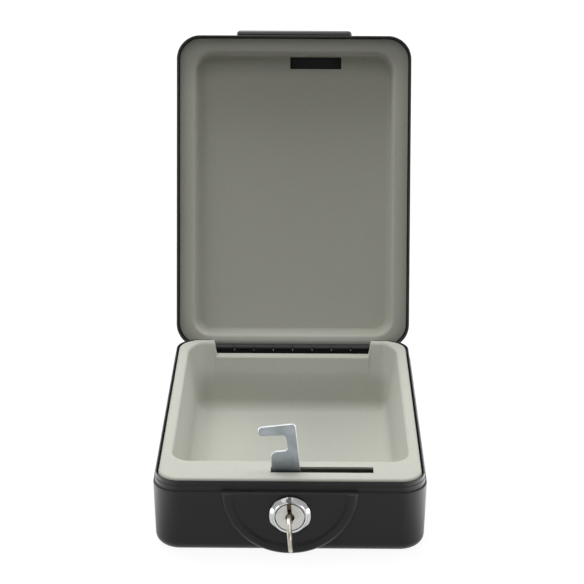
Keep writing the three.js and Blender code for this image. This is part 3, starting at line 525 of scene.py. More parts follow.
def outline_ring(plan, inset, back_samples=()):
    """A rounded rectangle, counter-clockwise from the middle of the right side."""
    half_x, front, back, corner = plan
    radius = max(corner - inset, 1)
    middle, half_y = (front + back) / 2, (back - front) / 2
    points = []
    for quarter in range(4):
        sign_x = 1 if quarter in (0, 3) else -1
        sign_y = 1 if quarter < 2 else -1
        for step in range(CORNER_STEPS + 1):
            angle = (quarter + step / CORNER_STEPS) * math.pi / 2
            points.append(
                (
                    sign_x * (half_x - inset - radius) + radius * math.cos(angle),
                    middle + sign_y * (half_y - inset - radius) + radius * math.sin(angle),
                )
            )
        if quarter == 0:
            points += [(x, back - inset) for x in back_samples]
    return points


def lofted(name, rings, material, matrix=None, back_samples=(), shape=None):
    """A closed solid through rings of (plan, inset, z), capped at both ends."""
    points, faces = [], []
    for plan, inset, z in rings:
        for x, y in outline_ring(plan, inset, back_samples):
            points.append(shape(x, y, z) if shape else (x, y, z))
    count = len(points) // len(rings)
    for level in range(len(rings) - 1):
        low, high = level * count, (level + 1) * count
        for k in range(count):
            n = (k + 1) % count
            faces.append((low + k, low + n, high + n, high + k))
    faces.append(tuple(reversed(range(count))))
    faces.append(tuple(range(len(points) - count, len(points))))
    return piece(name, points, faces, material, matrix)


def turned(name, profile, material, matrix=None, sides=96, axis="Y"):
    """A lathe piece from points of (radius, distance along the axis), ends on the axis."""
    points, faces, rows = [], [], []
    for radius, along in profile:
        row = []
        for k in range(sides if radius > 0 else 1):
            angle = 2 * math.pi * k / sides
            a, b = radius * math.cos(angle), radius * math.sin(angle)
            row.append(len(points))
            points.append((a, along, b) if axis == "Y" else (along, a, b))
        rows.append(row)
    for low, high in zip(rows, rows[1:]):
        for k in range(sides):
            n = (k + 1) % sides
            corners = ((low, k), (high, k), (high, n), (low, n))
            face = list(dict.fromkeys(row[i % len(row)] for row, i in corners))
            if len(face) > 2:
                faces.append(face)
    made = piece(name, points, faces, material, matrix)
    outward(made)
    return made


def rod(radius, start, end, soft=0):
    """The profile of a round bar or bore, with soft ends where soft is given."""
    if not soft:
        return [(0, start), (radius, start), (radius, end), (0, end)]
    profile = [(0, start), (radius - soft, start), (radius, start + soft)]
    return profile + [(radius, end - soft), (radius - soft, end), (0, end)]


def outward(made):
    """Points a closed piece's faces outwards."""
    shell = bmesh.new()
    shell.from_mesh(made.data)
    bmesh.ops.remove_doubles(shell, verts=shell.verts, dist=1e-7)
    bmesh.ops.recalc_face_normals(shell, faces=shell.faces)
    shell.to_mesh(made.data)
    shell.free()


def slab(name, outline, start, stop, axis, material=None, matrix=None):
    """A plate with an outline of (a, b), from start to stop along an axis."""
    order = {"X": (2, 0, 1), "Y": (0, 2, 1), "Z": (0, 1, 2)}[axis]
    points = []
    for along in (start, stop):
        for a, b in outline:
            values = (a, b, along)
            points.append(tuple(values[i] for i in order))
    count = len(outline)
    faces = [(k, (k + 1) % count, count + (k + 1) % count, count + k) for k in range(count)]
    faces += [tuple(range(count)), tuple(range(count, 2 * count))]
    made = piece(name, points, faces, material or COAT, matrix)
    outward(made)
    return made


def box(x0, x1, y0, y1, z0, z1, material=None, matrix=None, name="block"):
    outline = [(x0, y0), (x1, y0), (x1, y1), (x0, y1)]
    return slab(name, outline, z0, z1, "Z", material, matrix)


def rounded(corners, steps=8):
    """A closed outline through corners of (a, b, radius)."""
    points = []
    for i, (a, b, radius) in enumerate(corners):
        here = Vector((a, b))
        before = (Vector(corners[i - 1][:2]) - here).normalized()
        after = (Vector(corners[(i + 1) % len(corners)][:2]) - here).normalized()
        if radius == 0:
            points.append((a, b))
            continue
        half = before.angle(after) / 2
        start = here + before * (radius / math.tan(half))
        centre = here + (before + after).normalized() * (radius / math.sin(half))
        sweep = math.pi - 2 * half
        first = start - centre
        turn = 1 if first.x * (here - centre).y - first.y * (here - centre).x > 0 else -1
        for step in range(steps + 1):
            spun = Matrix.Rotation(turn * sweep * step / steps, 2) @ first
            points.append(tuple(centre + spun))
    return points


def finished(made, body, slot, *nodes):
    """A piece that rides on a body and stands for CAD nodes, which it hides; the slot is
    not used.
    """
    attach(made, body)
    if nodes:
        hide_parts(*nodes)
    return made


# Repeated pieces, as Geometry Nodes


def repeat_tree(name, along):
    """Copies of a piece on a row, or on the corners of a grid, made real."""
    tree = bpy.data.node_groups.new(name, "GeometryNodeTree")
    face = tree.interface
    face.new_socket("Geometry", in_out="OUTPUT", socket_type="NodeSocketGeometry")
    kinds = {
        "row": (("Count", "Int"), ("Start", "Float"), ("Pitch", "Float")),
        "grid": (("Size X", "Float"), ("Size Y", "Float"), ("Tilt", "Float")),
    }[along]
    for label, kind in (*kinds, ("Copied piece", "Object"), ("Finish", "Material")):
        face.new_socket(label, in_out="INPUT", socket_type="NodeSocket" + kind)
    made = {}

    def add(key, kind, **settings):
        made[key] = tree.nodes.new(kind)
        for setting, value in settings.items():
            setattr(made[key], setting, value)
        return made[key]

    def link(source, out, target, into):
        tree.links.new(made[source].outputs[out], made[target].inputs[into])

    add("in", "NodeGroupInput")
    add("out", "NodeGroupOutput")
    if along == "row":
        add("start", "ShaderNodeCombineXYZ")
        add("step", "ShaderNodeCombineXYZ")
        add("line", "GeometryNodeMeshLine", mode="OFFSET")
        link("in", "Start", "start", "X")
        link("in", "Pitch", "step", "X")
        link("in", "Count", "line", "Count")
        link("start", 0, "line", "Start Location")
        link("step", 0, "line", "Offset")
        last = "line"
    else:
        add("grid", "GeometryNodeMeshGrid")
        made["grid"].inputs["Vertices X"].default_value = 2
        made["grid"].inputs["Vertices Y"].default_value = 2
        add("tilt", "ShaderNodeCombineXYZ")
        add("turn", "GeometryNodeTransform")
        link("in", "Size X", "grid", "Size X")
        link("in", "Size Y", "grid", "Size Y")
        link("in", "Tilt", "tilt", "X")
        link("grid", "Mesh", "turn", "Geometry")
        link("tilt", 0, "turn", "Rotation")
        last = "turn"
    add("copied", "GeometryNodeObjectInfo")
    add("copies", "GeometryNodeInstanceOnPoints")
    add("real", "GeometryNodeRealizeInstances")
    add("coat", "GeometryNodeSetMaterial")
    link("in", "Copied piece", "copied", "Object")
    link(last, 0, "copies", "Points")
    link("copied", "Geometry", "copies", "Instance")
    link("copies", 0, "real", 0)
    link("real", 0, "coat", "Geometry")
    link("in", "Finish", "coat", "Material")
    link("coat", 0, "out", 0)
    return tree


def repeated(name, tree, copied, matrix, **values):
    """Runs a repeat tree once and returns the copies as one plain mesh."""
    made = placed(name, bpy.data.meshes.new(name + "_carrier"))
    step = made.modifiers.new("repeat", "NODES")
    step.node_group = tree
    values["Copied piece"] = copied
    values["Finish"] = copied.data.materials[0]
    for item in tree.interface.items_tree:
        label = item.name.replace(" ", "_")
        if item.in_out == "INPUT":
            step[item.identifier] = values.get(item.name, values.get(label))
    applied(made)
    made.data.transform(matrix)
    discard(copied)
    return made


KNUCKLE_ROW = repeat_tree("knuckle_row", "row")
RIVET_GRID = repeat_tree("rivet_grid", "grid")


# Box

CASE = (HALF_W, -HALF_D, HALF_D, CORNER_R)
FOOT = lean(SHOULDER_Z - EDGE_R)
LIP_INNER = LIP_INSET + SHEET
SHOULDER_R = 0.6


def rings(plan, profile):
    return [(plan, inset, z) for inset, z in profile]


def clamp(t):
    return min(max(t, 0), 1)


def ease(t):
    t = clamp(t)
    return t * t * (3 - 2 * t)


def plan_between(first, second, inset, t):
    """A plan part of the way from one plan to another that is drawn in by an inset."""
    half_x, front, back, corner = second
    target = (half_x - inset, front + inset, back - inset, corner - inset)
    return tuple(a + (b - a) * t for a, b in zip(first, target))


def case_outside():
    profile = arc(FOOT + EDGE_R, EDGE_R, EDGE_R, -90, 0, 16)
    profile += arc(SHOULDER_R, SHOULDER_Z - SHOULDER_R, SHOULDER_R, 0, 90, 5)
    profile += [(BAND_INSET - 0.1, SHOULDER_Z), (BAND_INSET, SHOULDER_Z + 0.1)]
    profile += arc(BAND_INSET + BAND_R, BAND_Z - BAND_R, BAND_R, 0, 90, 4)
    profile += [(LIP_INSET, BAND_Z), (LIP_INSET, BAND_Z + 0.4)]
    profile += arc(LIP_INSET + RIM_R, LIP_TOP - RIM_R, RIM_R, 0, 90, 5)
    return lofted("box_case", rings(CASE, profile), COAT)


def case_inside():
    profile = arc(FOOT + EDGE_R, EDGE_R, EDGE_R - SHEET, -90, 0, 16)
    profile += [(SHEET, SHOULDER_Z - SHEET), (LIP_INNER, SHOULDER_Z - SHEET / 2)]
    profile += [
        (LIP_INNER - RIM_R * (1 - math.cos(a)), LIP_TOP - RIM_R * (1 - math.sin(a)))
        for a in (math.pi / 10 * k for k in range(5))
    ]
    profile += [(LIP_INNER - RIM_R, LIP_TOP + 2)]
    return lofted("inside", rings(CASE, profile), COAT)


def boss_solid():
    """The half round pressed out of the front wall, with its raised ridge."""
    inner, wall = BOSS_R - BOSS_RIDGE_WIDTH, -HALF_D
    profile = [(0, wall - BOSS_FACE), (inner - 3, wall - BOSS_FACE)]
    for k in range(BOSS_STEPS + 1):
        rise = (BOSS_RIDGE - BOSS_FACE) * ease(k / BOSS_STEPS)
        profile.append((inner + BOSS_SLOPE * k / BOSS_STEPS, wall - BOSS_FACE - rise))
    for k in range(BOSS_STEPS + 1):
        angle = math.pi / 2 * k / BOSS_STEPS
        out, fall = BOSS_BROW * math.sin(angle), BOSS_RIDGE * (1 - math.cos(angle))
        profile.append((BOSS_R - BOSS_BROW + out, wall - BOSS_RIDGE + fall))
    profile += [(BOSS_R, wall + EDGE_R), (0, wall + EDGE_R)]
    matrix = Matrix.Translation((0, 0, BOSS_Z * MM))
    boss = turned("boss", profile, COAT, matrix, sides=160)
    return carve(boss, [box(-90, 90, wall - 20, 0, SHOULDER_Z, 99)])


def notch_prism(low, half, front, back):
    top, flared = LIP_TOP + 1, half + NOTCH_FLARE
    outline = [(-half, low), (half, low), (flared, top), (-flared, top)]
    return slab("notch", outline, front, back, "Y")


def box_case():
    made = carve(case_outside(), [boss_solid()], "UNION")
    inner = rod(BOSS_R - BOSS_RIDGE_WIDTH, -HALF_D - SHEET, EDGE_R - HALF_D)
    hollow = turned("hollow", inner, COAT, Matrix.Translation((0, 0, BOSS_Z * MM)))
    carve(hollow, [box(-90, 90, -HALF_D - 20, 0, SHOULDER_Z - BOSS_CAP, 99)])
    hole = turned("hole", rod(BODY_R + FIT, -20, 20), COAT, LOCK)
    low = SHOULDER_Z - KNUCKLE_R - HINGE_CLEAR
    notch = notch_prism(low, NOTCH_HALF, HALF_D - CORNER_R, HALF_D + 9)
    carve(made, [case_inside(), hollow, hole, notch])
    return finished(smoothed(made), "base", "black_coat", "base_shell")


TRAY = (HALF_W - SIDE_LEDGE, FRONT_LEDGE - HALF_D, HALF_D - BACK_LEDGE, TRAY_CORNER_R)


def tray_wall(thickness):
    """The tray from the middle of its floor to the top of its wall."""
    slope = math.tan(math.radians(TRAY_DRAFT))
    wall_top, fillet_z = LEDGE_Z - TRAY_EDGE_R, TRAY_FLOOR_Z + TRAY_FILLET
    fillet = TRAY_FILLET + thickness
    foot = TRAY_EDGE_R + (wall_top - fillet_z) * slope - thickness
    wall = arc(foot + fillet, fillet_z, fillet, -90, -TRAY_DRAFT, 12)
    for k in range(1, 9):
        t = k / 8
        end = TRAY_EDGE_R - thickness
        inset, z = wall[12]
        wall.append((inset + (end - inset) * t, z + (wall_top - z) * t))
    return wall


def saddle(x, y, z):
    """Draws the ledge down between the two ears, where the hinge needs room, leans the
    wall back to the ears and brings the tray's back wall forward at its foot."""
    height = clamp((z - SADDLE_FOOT) / (LEDGE_Z - SADDLE_FOOT))
    beside = ease((SADDLE_HALF + NOTCH_FLARE - abs(x)) / NOTCH_FLARE)
    outer = HALF_D - LIP_INNER - FIT
    ear = ease((EAR_END - abs(x)) / EAR_FADE)
    ear *= ease((y - TRAY[2] + TRAY_CORNER_R) / EAR_RUN)
    room = clamp((outer - y) / (outer - TRAY[2]))
    back = EAR_BACK * ear * (1 - beside) * height * room
    sunk = clamp((LEDGE_Z - z) / (LEDGE_Z - TRAY_FLOOR_Z))
    forward = BACK_LEAN * sunk * ease((y - TRAY[2] + BACK_REACH) / BACK_REACH)
    behind = ease((y - TRAY[2] + TRAY_CORNER_R) / (TRAY_CORNER_R * 0.5))
    weight = beside * behind
    reach = clamp((y - TRAY[2]) / (outer - TRAY[2]))
    z -= weight * (LEDGE_Z - SADDLE_Z) * height
    y -= weight * (SADDLE_BACK - (HALF_D - outer)) * reach
    return x, y - forward + back, z


def box_lining():
    edge = LIP_INNER + LEDGE_GAP
    under = LEDGE_Z - LINER
    around = [(edge + LINER, under), (edge + LINER, SKIRT_Z), (edge, SKIRT_Z)]
    around += [(edge, LEDGE_Z - LEDGE_R - 1)]
    around += arc(edge + LEDGE_R, LEDGE_Z - LEDGE_R, LEDGE_R, 0, 90, 8)
    brow = arc(0, LEDGE_Z - TRAY_EDGE_R, -TRAY_EDGE_R, -90, -12, 6)
    solid = rings(TRAY, tray_wall(LINER)) + rings(TRAY, [(UNDER_TURN, under)])
    solid += rings(CASE, around)
    for k in range(7, 0, -1):
        solid.append((plan_between(TRAY, CASE, edge + LEDGE_R, k / 8), 0, LEDGE_Z))
    solid += rings(TRAY, brow + list(reversed(tray_wall(0))))
    inside = SADDLE_HALF + NOTCH_FLARE
    samples = [inside + 2] + [inside - 0.25 * k for k in range(0, 14)]
    samples += [SADDLE_HALF - 6, 30, 0]
    samples += [-x for x in reversed(samples[:-1])]
    made = lofted("box_lining", solid, BOX_FLOCK, None, samples, saddle)
    left, right, front, width = LEDGE_SLOT
    front -= HALF_D
    carve(made, [box(left, right, front, front + width, SKIRT_Z, LEDGE_Z + 2)])
    return finished(smoothed(made, 50), "base", "base_flock", "base_liner")


# Hinge


def hinge_leaf(name, first, body, node, flip):
    """One leaf of the piano hinge with every second knuckle, from the first."""
    half, clear = HINGE_LENGTH / 2, KNUCKLE_R + HINGE_CLEAR
    pitch = HINGE_LENGTH / KNUCKLES
    length = pitch - KNUCKLE_GAP
    soft = 0.25
    profile = [(BORE_R, soft), (BORE_R + soft, 0), (KNUCKLE_R - soft, 0)]
    profile += [(KNUCKLE_R, soft), (KNUCKLE_R, length - soft), (KNUCKLE_R - soft, length)]
    profile += [(BORE_R + soft, length), (BORE_R, length - soft), (BORE_R, soft)]
    copied = turned("knuckle", profile, HINGE_COAT, None, sides=28, axis="X")
    start = (-half + first * pitch + KNUCKLE_GAP / 2) * MM
    matrix = HINGE if body == "base" else LID
    row = repeated(
        "knuckles",
        KNUCKLE_ROW,
        copied,
        matrix,
        Count=KNUCKLES // 2,
        Start=start,
        Pitch=2 * pitch * MM,
    )
    side = -KNUCKLE_R
    low, high = (-LEAF_REACH, -clear) if flip < 0 else (clear, LEAF_REACH)
    plate = box(-half, half, side, side + LEAF, low, high, HINGE_COAT, matrix)
    parts = [row, eased(plate, 0.15)]
    for k in range(first, KNUCKLES, 2):
        x0 = -half + k * pitch + KNUCKLE_GAP / 2
        near = flip * BORE_R * 0.9
        low, high = sorted((near, flip * (clear + LEAF / 2)))
        span = (x0, x0 + length, side + 0.02, side + LEAF, low, high)
        parts.append(box(*span, HINGE_COAT, matrix))
    made = joined(name, parts)
    return finished(smoothed(made, 40), body, "hinge_black", node)


def hinge_rod():
    profile = rod(PIN_R, -HINGE_LENGTH / 2, HINGE_LENGTH / 2, 0.3)
    made = turned("hinge_rod", profile, HINGE_COAT, HINGE, sides=24, axis="X")
    return finished(smoothed(made), "base", "hinge_black", "hinge_pin")


# Lid, shaped closed in the hinge's frame and swung open by its matrix

LID_PLAN = (HALF_W, -DEPTH, 0, CORNER_R)


def lid_case():
    edge_z = LID_RISE - EDGE_R
    crown = lean(edge_z) + EDGE_R
    top = arc(crown, edge_z, EDGE_R, 0, 90, 16)
    under = arc(crown, edge_z, EDGE_R - SHEET, 90, 0, 16)
    rim = arc(RIM_R, RIM_GAP + RIM_R, RIM_R, -180, 0, 8)
    profile = under + [(SHEET, RIM_GAP + 2)] + rim + [(0, RIM_GAP + 2)] + top
    made = lofted("lid_case", rings(LID_PLAN, profile), COAT)
    outward(made)
    high = KNUCKLE_R + HINGE_CLEAR
    carve(made, [box(-NOTCH_HALF, NOTCH_HALF, -2 * SHEET, 9, -9, high)])
    made.data.transform(LID)
    return finished(smoothed(made), "lid", "black_coat", "lid_shell")


LID_TRAY = (HALF_W - LID_SIDE, LID_FRONT - DEPTH, -LID_BACK, LID_CORNER_R)


def lid_wall(thickness):
    slope = math.tan(math.radians(LID_DRAFT))
    wall_z, fillet_z = LID_LEDGE_DEPTH + LID_EDGE_R, LID_FLOOR - LID_FILLET
    crown = LID_EDGE_R + (fillet_z - wall_z) * slope - thickness
    fillet = LID_FILLET + thickness
    wall = [(LID_EDGE_R - thickness, wall_z)]
    return wall + arc(crown + fillet, fillet_z, fillet, LID_DRAFT, 90, 10)


def lid_lining():
    side = SHEET + FIT + lean(LID_LEDGE_DEPTH + LID_SKIRT)
    depth, skirt = LID_LEDGE_DEPTH, LID_LEDGE_DEPTH + LID_SKIRT
    brow = arc(0, depth + LID_EDGE_R, -LID_EDGE_R, 12, 90, 6)
    around = arc(side + LID_LEDGE_R, depth + LID_LEDGE_R, LID_LEDGE_R, -90, 0, 6)
    around += [(side, skirt), (side + LID_LINER, skirt)]
    around += [(side + LID_LINER, depth + LID_LINER)]
    solid = rings(LID_TRAY, list(reversed(lid_wall(0))) + brow)
    for k in range(1, 8):
        plan = plan_between(LID_TRAY, LID_PLAN, side + LID_LEDGE_R, k / 8)
        solid.append((plan, 0, depth - LID_CROWN * math.sin(math.pi * k / 8)))
    solid += rings(LID_PLAN, around)
    solid += rings(LID_TRAY, [(UNDER_TURN, depth + LID_LINER)] + lid_wall(LID_LINER))
    made = lofted("lid_lining", solid, LID_FLOCK_LIGHTENED)
    outward(made)
    left, right, front, width = CATCH_SLOT
    front -= DEPTH
    carve(made, [box(left, right, front, front + width, LID_FLOOR - 3, LID_FLOOR + 3)])
    made.data.transform(LID)
    return finished(smoothed(made, 50), "lid", "lid_flock", "lid_liner")


# Lock


def lock_bezel():
    soft = 0.35
    step = BOSS_SEAT - BEZEL_BRIM
    face_bore, plug_bore = FACE_R + FIT, PLUG_R + FIT
    recess = LOCK_FACE + FACE_THICK + FIT
    profile = [
        (face_bore, LOCK_FACE + 2 * soft),
        (face_bore + 0.15, LOCK_FACE + soft),
        (face_bore + soft, LOCK_FACE + 0.1),
        (BEZEL_FLAT_R - soft, LOCK_FACE),
        (BEZEL_FLAT_R, LOCK_FACE + 0.12),
        (BEZEL_FLAT_R + 0.3, LOCK_FACE + 0.5),
        (BEZEL_R - 0.3, step - 0.5),
        (BEZEL_R - 0.05, step - 0.1),
        (BEZEL_R, step + 0.3),
        (BEZEL_R, BOSS_SEAT - 0.2),
        (BEZEL_R - 0.2, BOSS_SEAT),
        (BODY_R, BOSS_SEAT),
        (BODY_R, BODY_BACK),
        (plug_bore, BODY_BACK),
        (plug_bore, recess),
        (face_bore, recess),
        (face_bore, LOCK_FACE + 2 * soft),
    ]
    made = turned("lock_bezel", profile, CHROME, None, sides=128)
    left, right, low, high, deep = MARK
    carve(made, [box(left, right, LOCK_FACE - 1, LOCK_FACE + deep, low, high)])
    made.data.transform(LOCK)
    return finished(smoothed(made, 24), "base", "chromed", "lock_housing")


def lock_face():
    soft = 0.3
    hook_back = HOOK_FRONT + HOOK_THICK
    profile = [
        (0, LOCK_FACE),
        (FACE_R - soft, LOCK_FACE),
        (FACE_R - soft / 4, LOCK_FACE + soft / 4),
        (FACE_R, LOCK_FACE + soft),
        (FACE_R, LOCK_FACE + FACE_THICK),
        (PLUG_R, LOCK_FACE + FACE_THICK),
        (PLUG_R, HOOK_FRONT - FIT),
        (0, HOOK_FRONT - FIT),
    ]
    made = turned("lock_face", profile, NICKEL, None, sides=96)
    half = HOOK_SQUARE / 2
    carve(made, [box(-half, half, HOOK_FRONT - 1, hook_back - FIT, -half, half)], "UNION")
    w, h = KEYWAY_W / 2, KEYWAY_H / 2
    start, sunk = LOCK_FACE - 1, LOCK_FACE + KEYHOLE_DEPTH
    ring = [(0, start), (KEYHOLE_R, start), (KEYHOLE_R - 0.3, sunk), (0, sunk)]
    cutters = [
        box(-w, w, start, LOCK_FACE + KEY_BLADE_IN + 1, -h, h),
        box(-w, w, start, sunk, 0, FACE_R + 1),
        turned("recess", ring, NICKEL, sides=48),
        turned("tapping", rod(TAP_R, TAP_START, 30), NICKEL, sides=24),
    ]
    for k in range(WAFERS):
        y = LOCK_FACE + WAFER_FIRST + k * WAFER_PITCH
        wide, thick = WAFER_W / 2 + FIT, WAFER_THICK / 2 + FIT
        cutters.append(box(-wide, wide, y - thick, y + thick, -20, 20))
    carve(made, cutters)
    made.data.transform(PLUG)
    return finished(smoothed(made, 30), "latch", "nickel", "lock_plug")


def hook_plate():
    """The hook, its outline given as places on the box: across, up and corner radius."""

    def x(value):
        return value - LOCK_X

    def z(value):
        return value - LOCK_Z

    def top(side):
        return math.sqrt(HOOK_REACH**2 - side**2) - 0.6

    outline = rounded(
        [
            (x(8.8), 0, 6),
            (x(3.4), top(3.4), 2.6),
            (x(-20.9), top(-18.4), 3),
            (x(-20.9), z(76.6), 3),
            (x(-2.9), z(77.6), 2.2),
            (x(-1.4), z(66.4), 2.2),
            (x(-12.4), z(65.4), 4.2),
            (x(-11.9), z(SHOULDER_Z), 8),
            (-10, 0, 6),
            (-5.5, -11, 3.4),
            (5.5, -11, 3.4),
        ]
    )
    made = slab("hook_plate", outline, HOOK_FRONT, HOOK_FRONT + HOOK_THICK, "Y", ZINC)
    eased(made, 0.32, 3, 60)
    half = HOOK_SQUARE / 2 + FIT
    turn = Matrix.Rotation(-math.radians(LOCK_TILT), 4, "Y")
    carve(made, [box(-half, half, 0, 40, -half, half, matrix=turn)])
    made.data.transform(LOCK)
    return finished(smoothed(made, 50), "latch", "zinc_plate", "latch_hook")


def door_key():
    """A flat key: a round bow with a ring hole, and a grooved blade with its cuts."""
    centre = LOCK_FACE - KEY_BOW_REACH
    profile = rod(KEY_BOW_R, -KEY_BOW_T / 2, KEY_BOW_T / 2, 0.35)
    bow = turned("door_key", profile, KEY_METAL, None, sides=72, axis="X")
    bow.data.transform(Matrix.Translation((0, centre * MM, 0)))
    half, t = KEY_BLADE_W / 2, KEY_BLADE_T / 2
    start, end = centre + KEY_BOW_R / 2, LOCK_FACE + KEY_BLADE_IN
    outline = [(start, -half), (end - KEY_TIP, -half), (end, -KEY_TIP_HALF)]
    outline += [(end, KEY_TIP_HALF), (end - KEY_TIP, half), (start, half)]
    blade = slab("blade", outline, -t, t, "X", KEY_METAL)
    for k in range(WAFERS):
        y = LOCK_FACE + WAFER_FIRST + k * WAFER_PITCH
        side = -1 if k % 2 else 1
        foot, top = side * (half - KEY_CUT), side * (half + 1)
        cut = [(y - KEY_CUT_FOOT, foot), (y + KEY_CUT_FOOT, foot)]
        cut += [(y + KEY_CUT_TOP, top), (y - KEY_CUT_TOP, top)]
        carve(blade, [slab("cut", cut, -4, 4, "X")])
    carve(bow, [blade], "UNION")
    shift = Matrix.Translation((0, (centre - KEY_HOLE_OUT) * MM, 0))
    hole = turned("hole", rod(KEY_HOLE_R, -5, 5), KEY_METAL, shift, sides=48, axis="X")
    cutters = [hole]
    for side in (-1, 1):
        x0, x1 = sorted((side * t * 0.55, side * (t + 1)))
        low, high = -0.9 * side, 0.9 - side
        cutters.append(box(x0, x1, centre + KEY_BOW_R + 1, end + 1, low, high))
    carve(bow, cutters)
    eased(bow, 0.12, 2, 50)
    bow.data.transform(PLUG)
    return finished(smoothed(bow, 35), "key", "key_steel", "key")


# Handle on the lid's front wall, folded flat


def grip_bail():
    low, high, inside = -GRIP_REACH, EYE_R, GRIP_HALF - GRIP_ARM
    outline = rounded(
        [
            (-GRIP_HALF, high, GRIP_TIP_R),
            (-inside, high, GRIP_TIP_R),
            (-inside, low + GRIP_BAR, GRIP_INNER_R),
            (inside, low + GRIP_BAR, GRIP_INNER_R),
            (inside, high, GRIP_TIP_R),
            (GRIP_HALF, high, GRIP_TIP_R),
            (GRIP_HALF, low, GRIP_OUTER_R),
            (-GRIP_HALF, low, GRIP_OUTER_R),
        ]
    )
    made = slab("grip_bail", outline, -GRIP_TOP, -GRIP_FLOAT, "Y", GRIP)
    front = rounded(
        [
            (-GRIP_HALF, 1, 0),
            (-GRIP_HALF, -GRIP_TOP, GRIP_END_R),
            (GRIP_HALF, -GRIP_TOP, GRIP_END_R),
            (GRIP_HALF, 1, 0),
        ]
    )
    carve(made, [slab("rounding", front, low - 1, high + 1, "Z")], "INTERSECT")
    places = [(-GRIP_FLOAT, low), (-GRIP_TOP, low), (-GRIP_TOP, high), (-GRIP_FLOAT, high)]
    side = rounded([(*place, radius) for place, radius in zip(places, GRIP_EDGES)])
    carve(made, [slab("edges", side, -60, 60, "X")], "INTERSECT")
    eased(made, 0.4, 3, 42)
    bore = rod(HANDLE_BORE_R, -60, 60)
    carve(made, [turned("bore", bore, GRIP, PIN_SHIFT, sides=24, axis="X")])
    made.data.transform(HANDLE)
    return finished(smoothed(made, 35), "grip", "grip_plastic", "handle_grip")


def handle_bracket(name, side, node):
    half = BRACKET_H / 2
    face = -FIT - BRACKET_T
    outline = rounded(
        [
            (EAR_FACE, -half, 0.8),
            (EAR_FACE, half, 0.8),
            (BRACKET_FOOT, half, 2),
            (BRACKET_FOOT, -half, 2),
        ]
    )
    made = slab(name, outline, face, -FIT, "Y", HINGE_COAT)
    back, top = EAR_FACE - BRACKET_EAR, 0.2 - PIN_OUT - EYE_R
    web_end = EAR_FACE - WEB_REACH
    slope = [(EAR_FACE, -WEB_ROOT), (EAR_FACE, top), (back, top)]
    slope += [(web_end, -WEB_RISE), (web_end, -WEB_ROOT)]
    web = slab("web", slope, -EYE_R, EYE_R, "Z")
    eye = rod(EYE_R, back, EAR_FACE)
    eye = turned("eye", eye, HINGE_COAT, PIN_SHIFT, sides=32, axis="X")
    carve(made, [eye, web], "UNION")
    bore = rod(HANDLE_BORE_R, 0, 60)
    cutters = [turned("bore", bore, HINGE_COAT, PIN_SHIFT, sides=24, axis="X")]
    hole = rod(RIVET_R + 0.15, -9, 9)
    for step in (-1, 1):
        spot = Matrix.Translation((RIVET_X * MM, 0, step * RIVET_STEP / 2 * MM))
        cutters.append(turned("hole", hole, HINGE_COAT, spot, sides=24))
    carve(made, cutters)
    eased(made, 0.14, 2, 50)
    if side < 0:
        made.data.transform(Matrix.Scale(-1, 4, (1, 0, 0)))
        outward(made)
    made.data.transform(HANDLE)
    return finished(smoothed(made, 35), "lid", "hinge_black", node)


def handle_pivot(name, side, node):
    start, end = EAR_FACE - BRACKET_EAR + FIT, GRIP_HALF - GRIP_ARM / 2
    matrix = HANDLE @ PIN_SHIFT
    if side < 0:
        matrix = matrix @ Matrix.Rotation(math.pi, 4, "Y")
    profile = rod(HANDLE_PIN_R, start, end, 0.3)
    made = turned(name, profile, CHROME, matrix, sides=28, axis="X")
    return finished(smoothed(made), "lid", "chromed", node)


def bracket_rivets():
    """The four rivets that hold the brackets, as one grid of copies."""
    face, tail = -2 * FIT - BRACKET_T, SHEET + FIT
    dome = [
        (RIVET_HEAD_R * math.sin(a), face - RIVET_HEAD * math.cos(a))
        for a in (math.pi / 12 * k for k in range(1, 7))
    ]
    profile = [(0, face - RIVET_HEAD)] + dome
    profile += [(RIVET_R, face), (RIVET_R, tail), (RIVET_HEAD_R, tail)]
    profile += [(RIVET_HEAD_R - 0.2, tail + RIVET_HEAD), (0, tail + RIVET_HEAD)]
    upright = Matrix.Rotation(-math.pi / 2, 4, "X")
    copied = turned("rivet", profile, HINGE_COAT, None, sides=28)
    copied.data.transform(upright)
    made = repeated(
        "bracket_rivets",
        RIVET_GRID,
        copied,
        HANDLE @ upright.inverted(),
        Size_X=2 * RIVET_X * MM,
        Size_Y=RIVET_STEP * MM,
        Tilt=0.0,
    )
    nodes = ["bracket_rivet_%d" % k for k in range(1, 5)]
    return finished(smoothed(made, 50), "lid", "hinge_black", *nodes)


box_case()
box_lining()
lid_case()
lid_lining()
hinge_leaf("box_leaf", 0, "base", "base_hinge_leaf", -1)
hinge_leaf("lid_leaf", 1, "lid", "lid_hinge_leaf", 1)
hinge_rod()
lock_bezel()
lock_face()
hook_plate()
door_key()
grip_bail()
for word, way in (("left", -1), ("right", 1)):
    handle_bracket("bracket_" + word, way, "handle_bracket_" + word)
    handle_pivot("pivot_" + word, way, "handle_pin_" + word)
bracket_rivets()

# The solids that stay get their finishes

CARRIED = {
    "latch_catch": HINGE_COAT,
    "lock_washer": ZINC,
    "lock_nut": ZINC,
    "hook_screw": ZINC,
}
for k in range(1, WAFERS + 1):
    CARRIED["wafer_%d" % k] = BRASS
    CARRIED["wafer_spring_%d" % k] = SPRING_WIRE
for node, material in CARRIED.items():
    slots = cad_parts[node].material_slots
    for slot in slots:
        slot.material = material


# Camera, floor and light

FOCAL_PX, FRAME_PX, SENSOR = 1771, 584, 36
CAMERA_AT = (8.4, -1142.8, 581.8)
PITCH, YAW, ROLL = 21.25, 0.41, 0.16


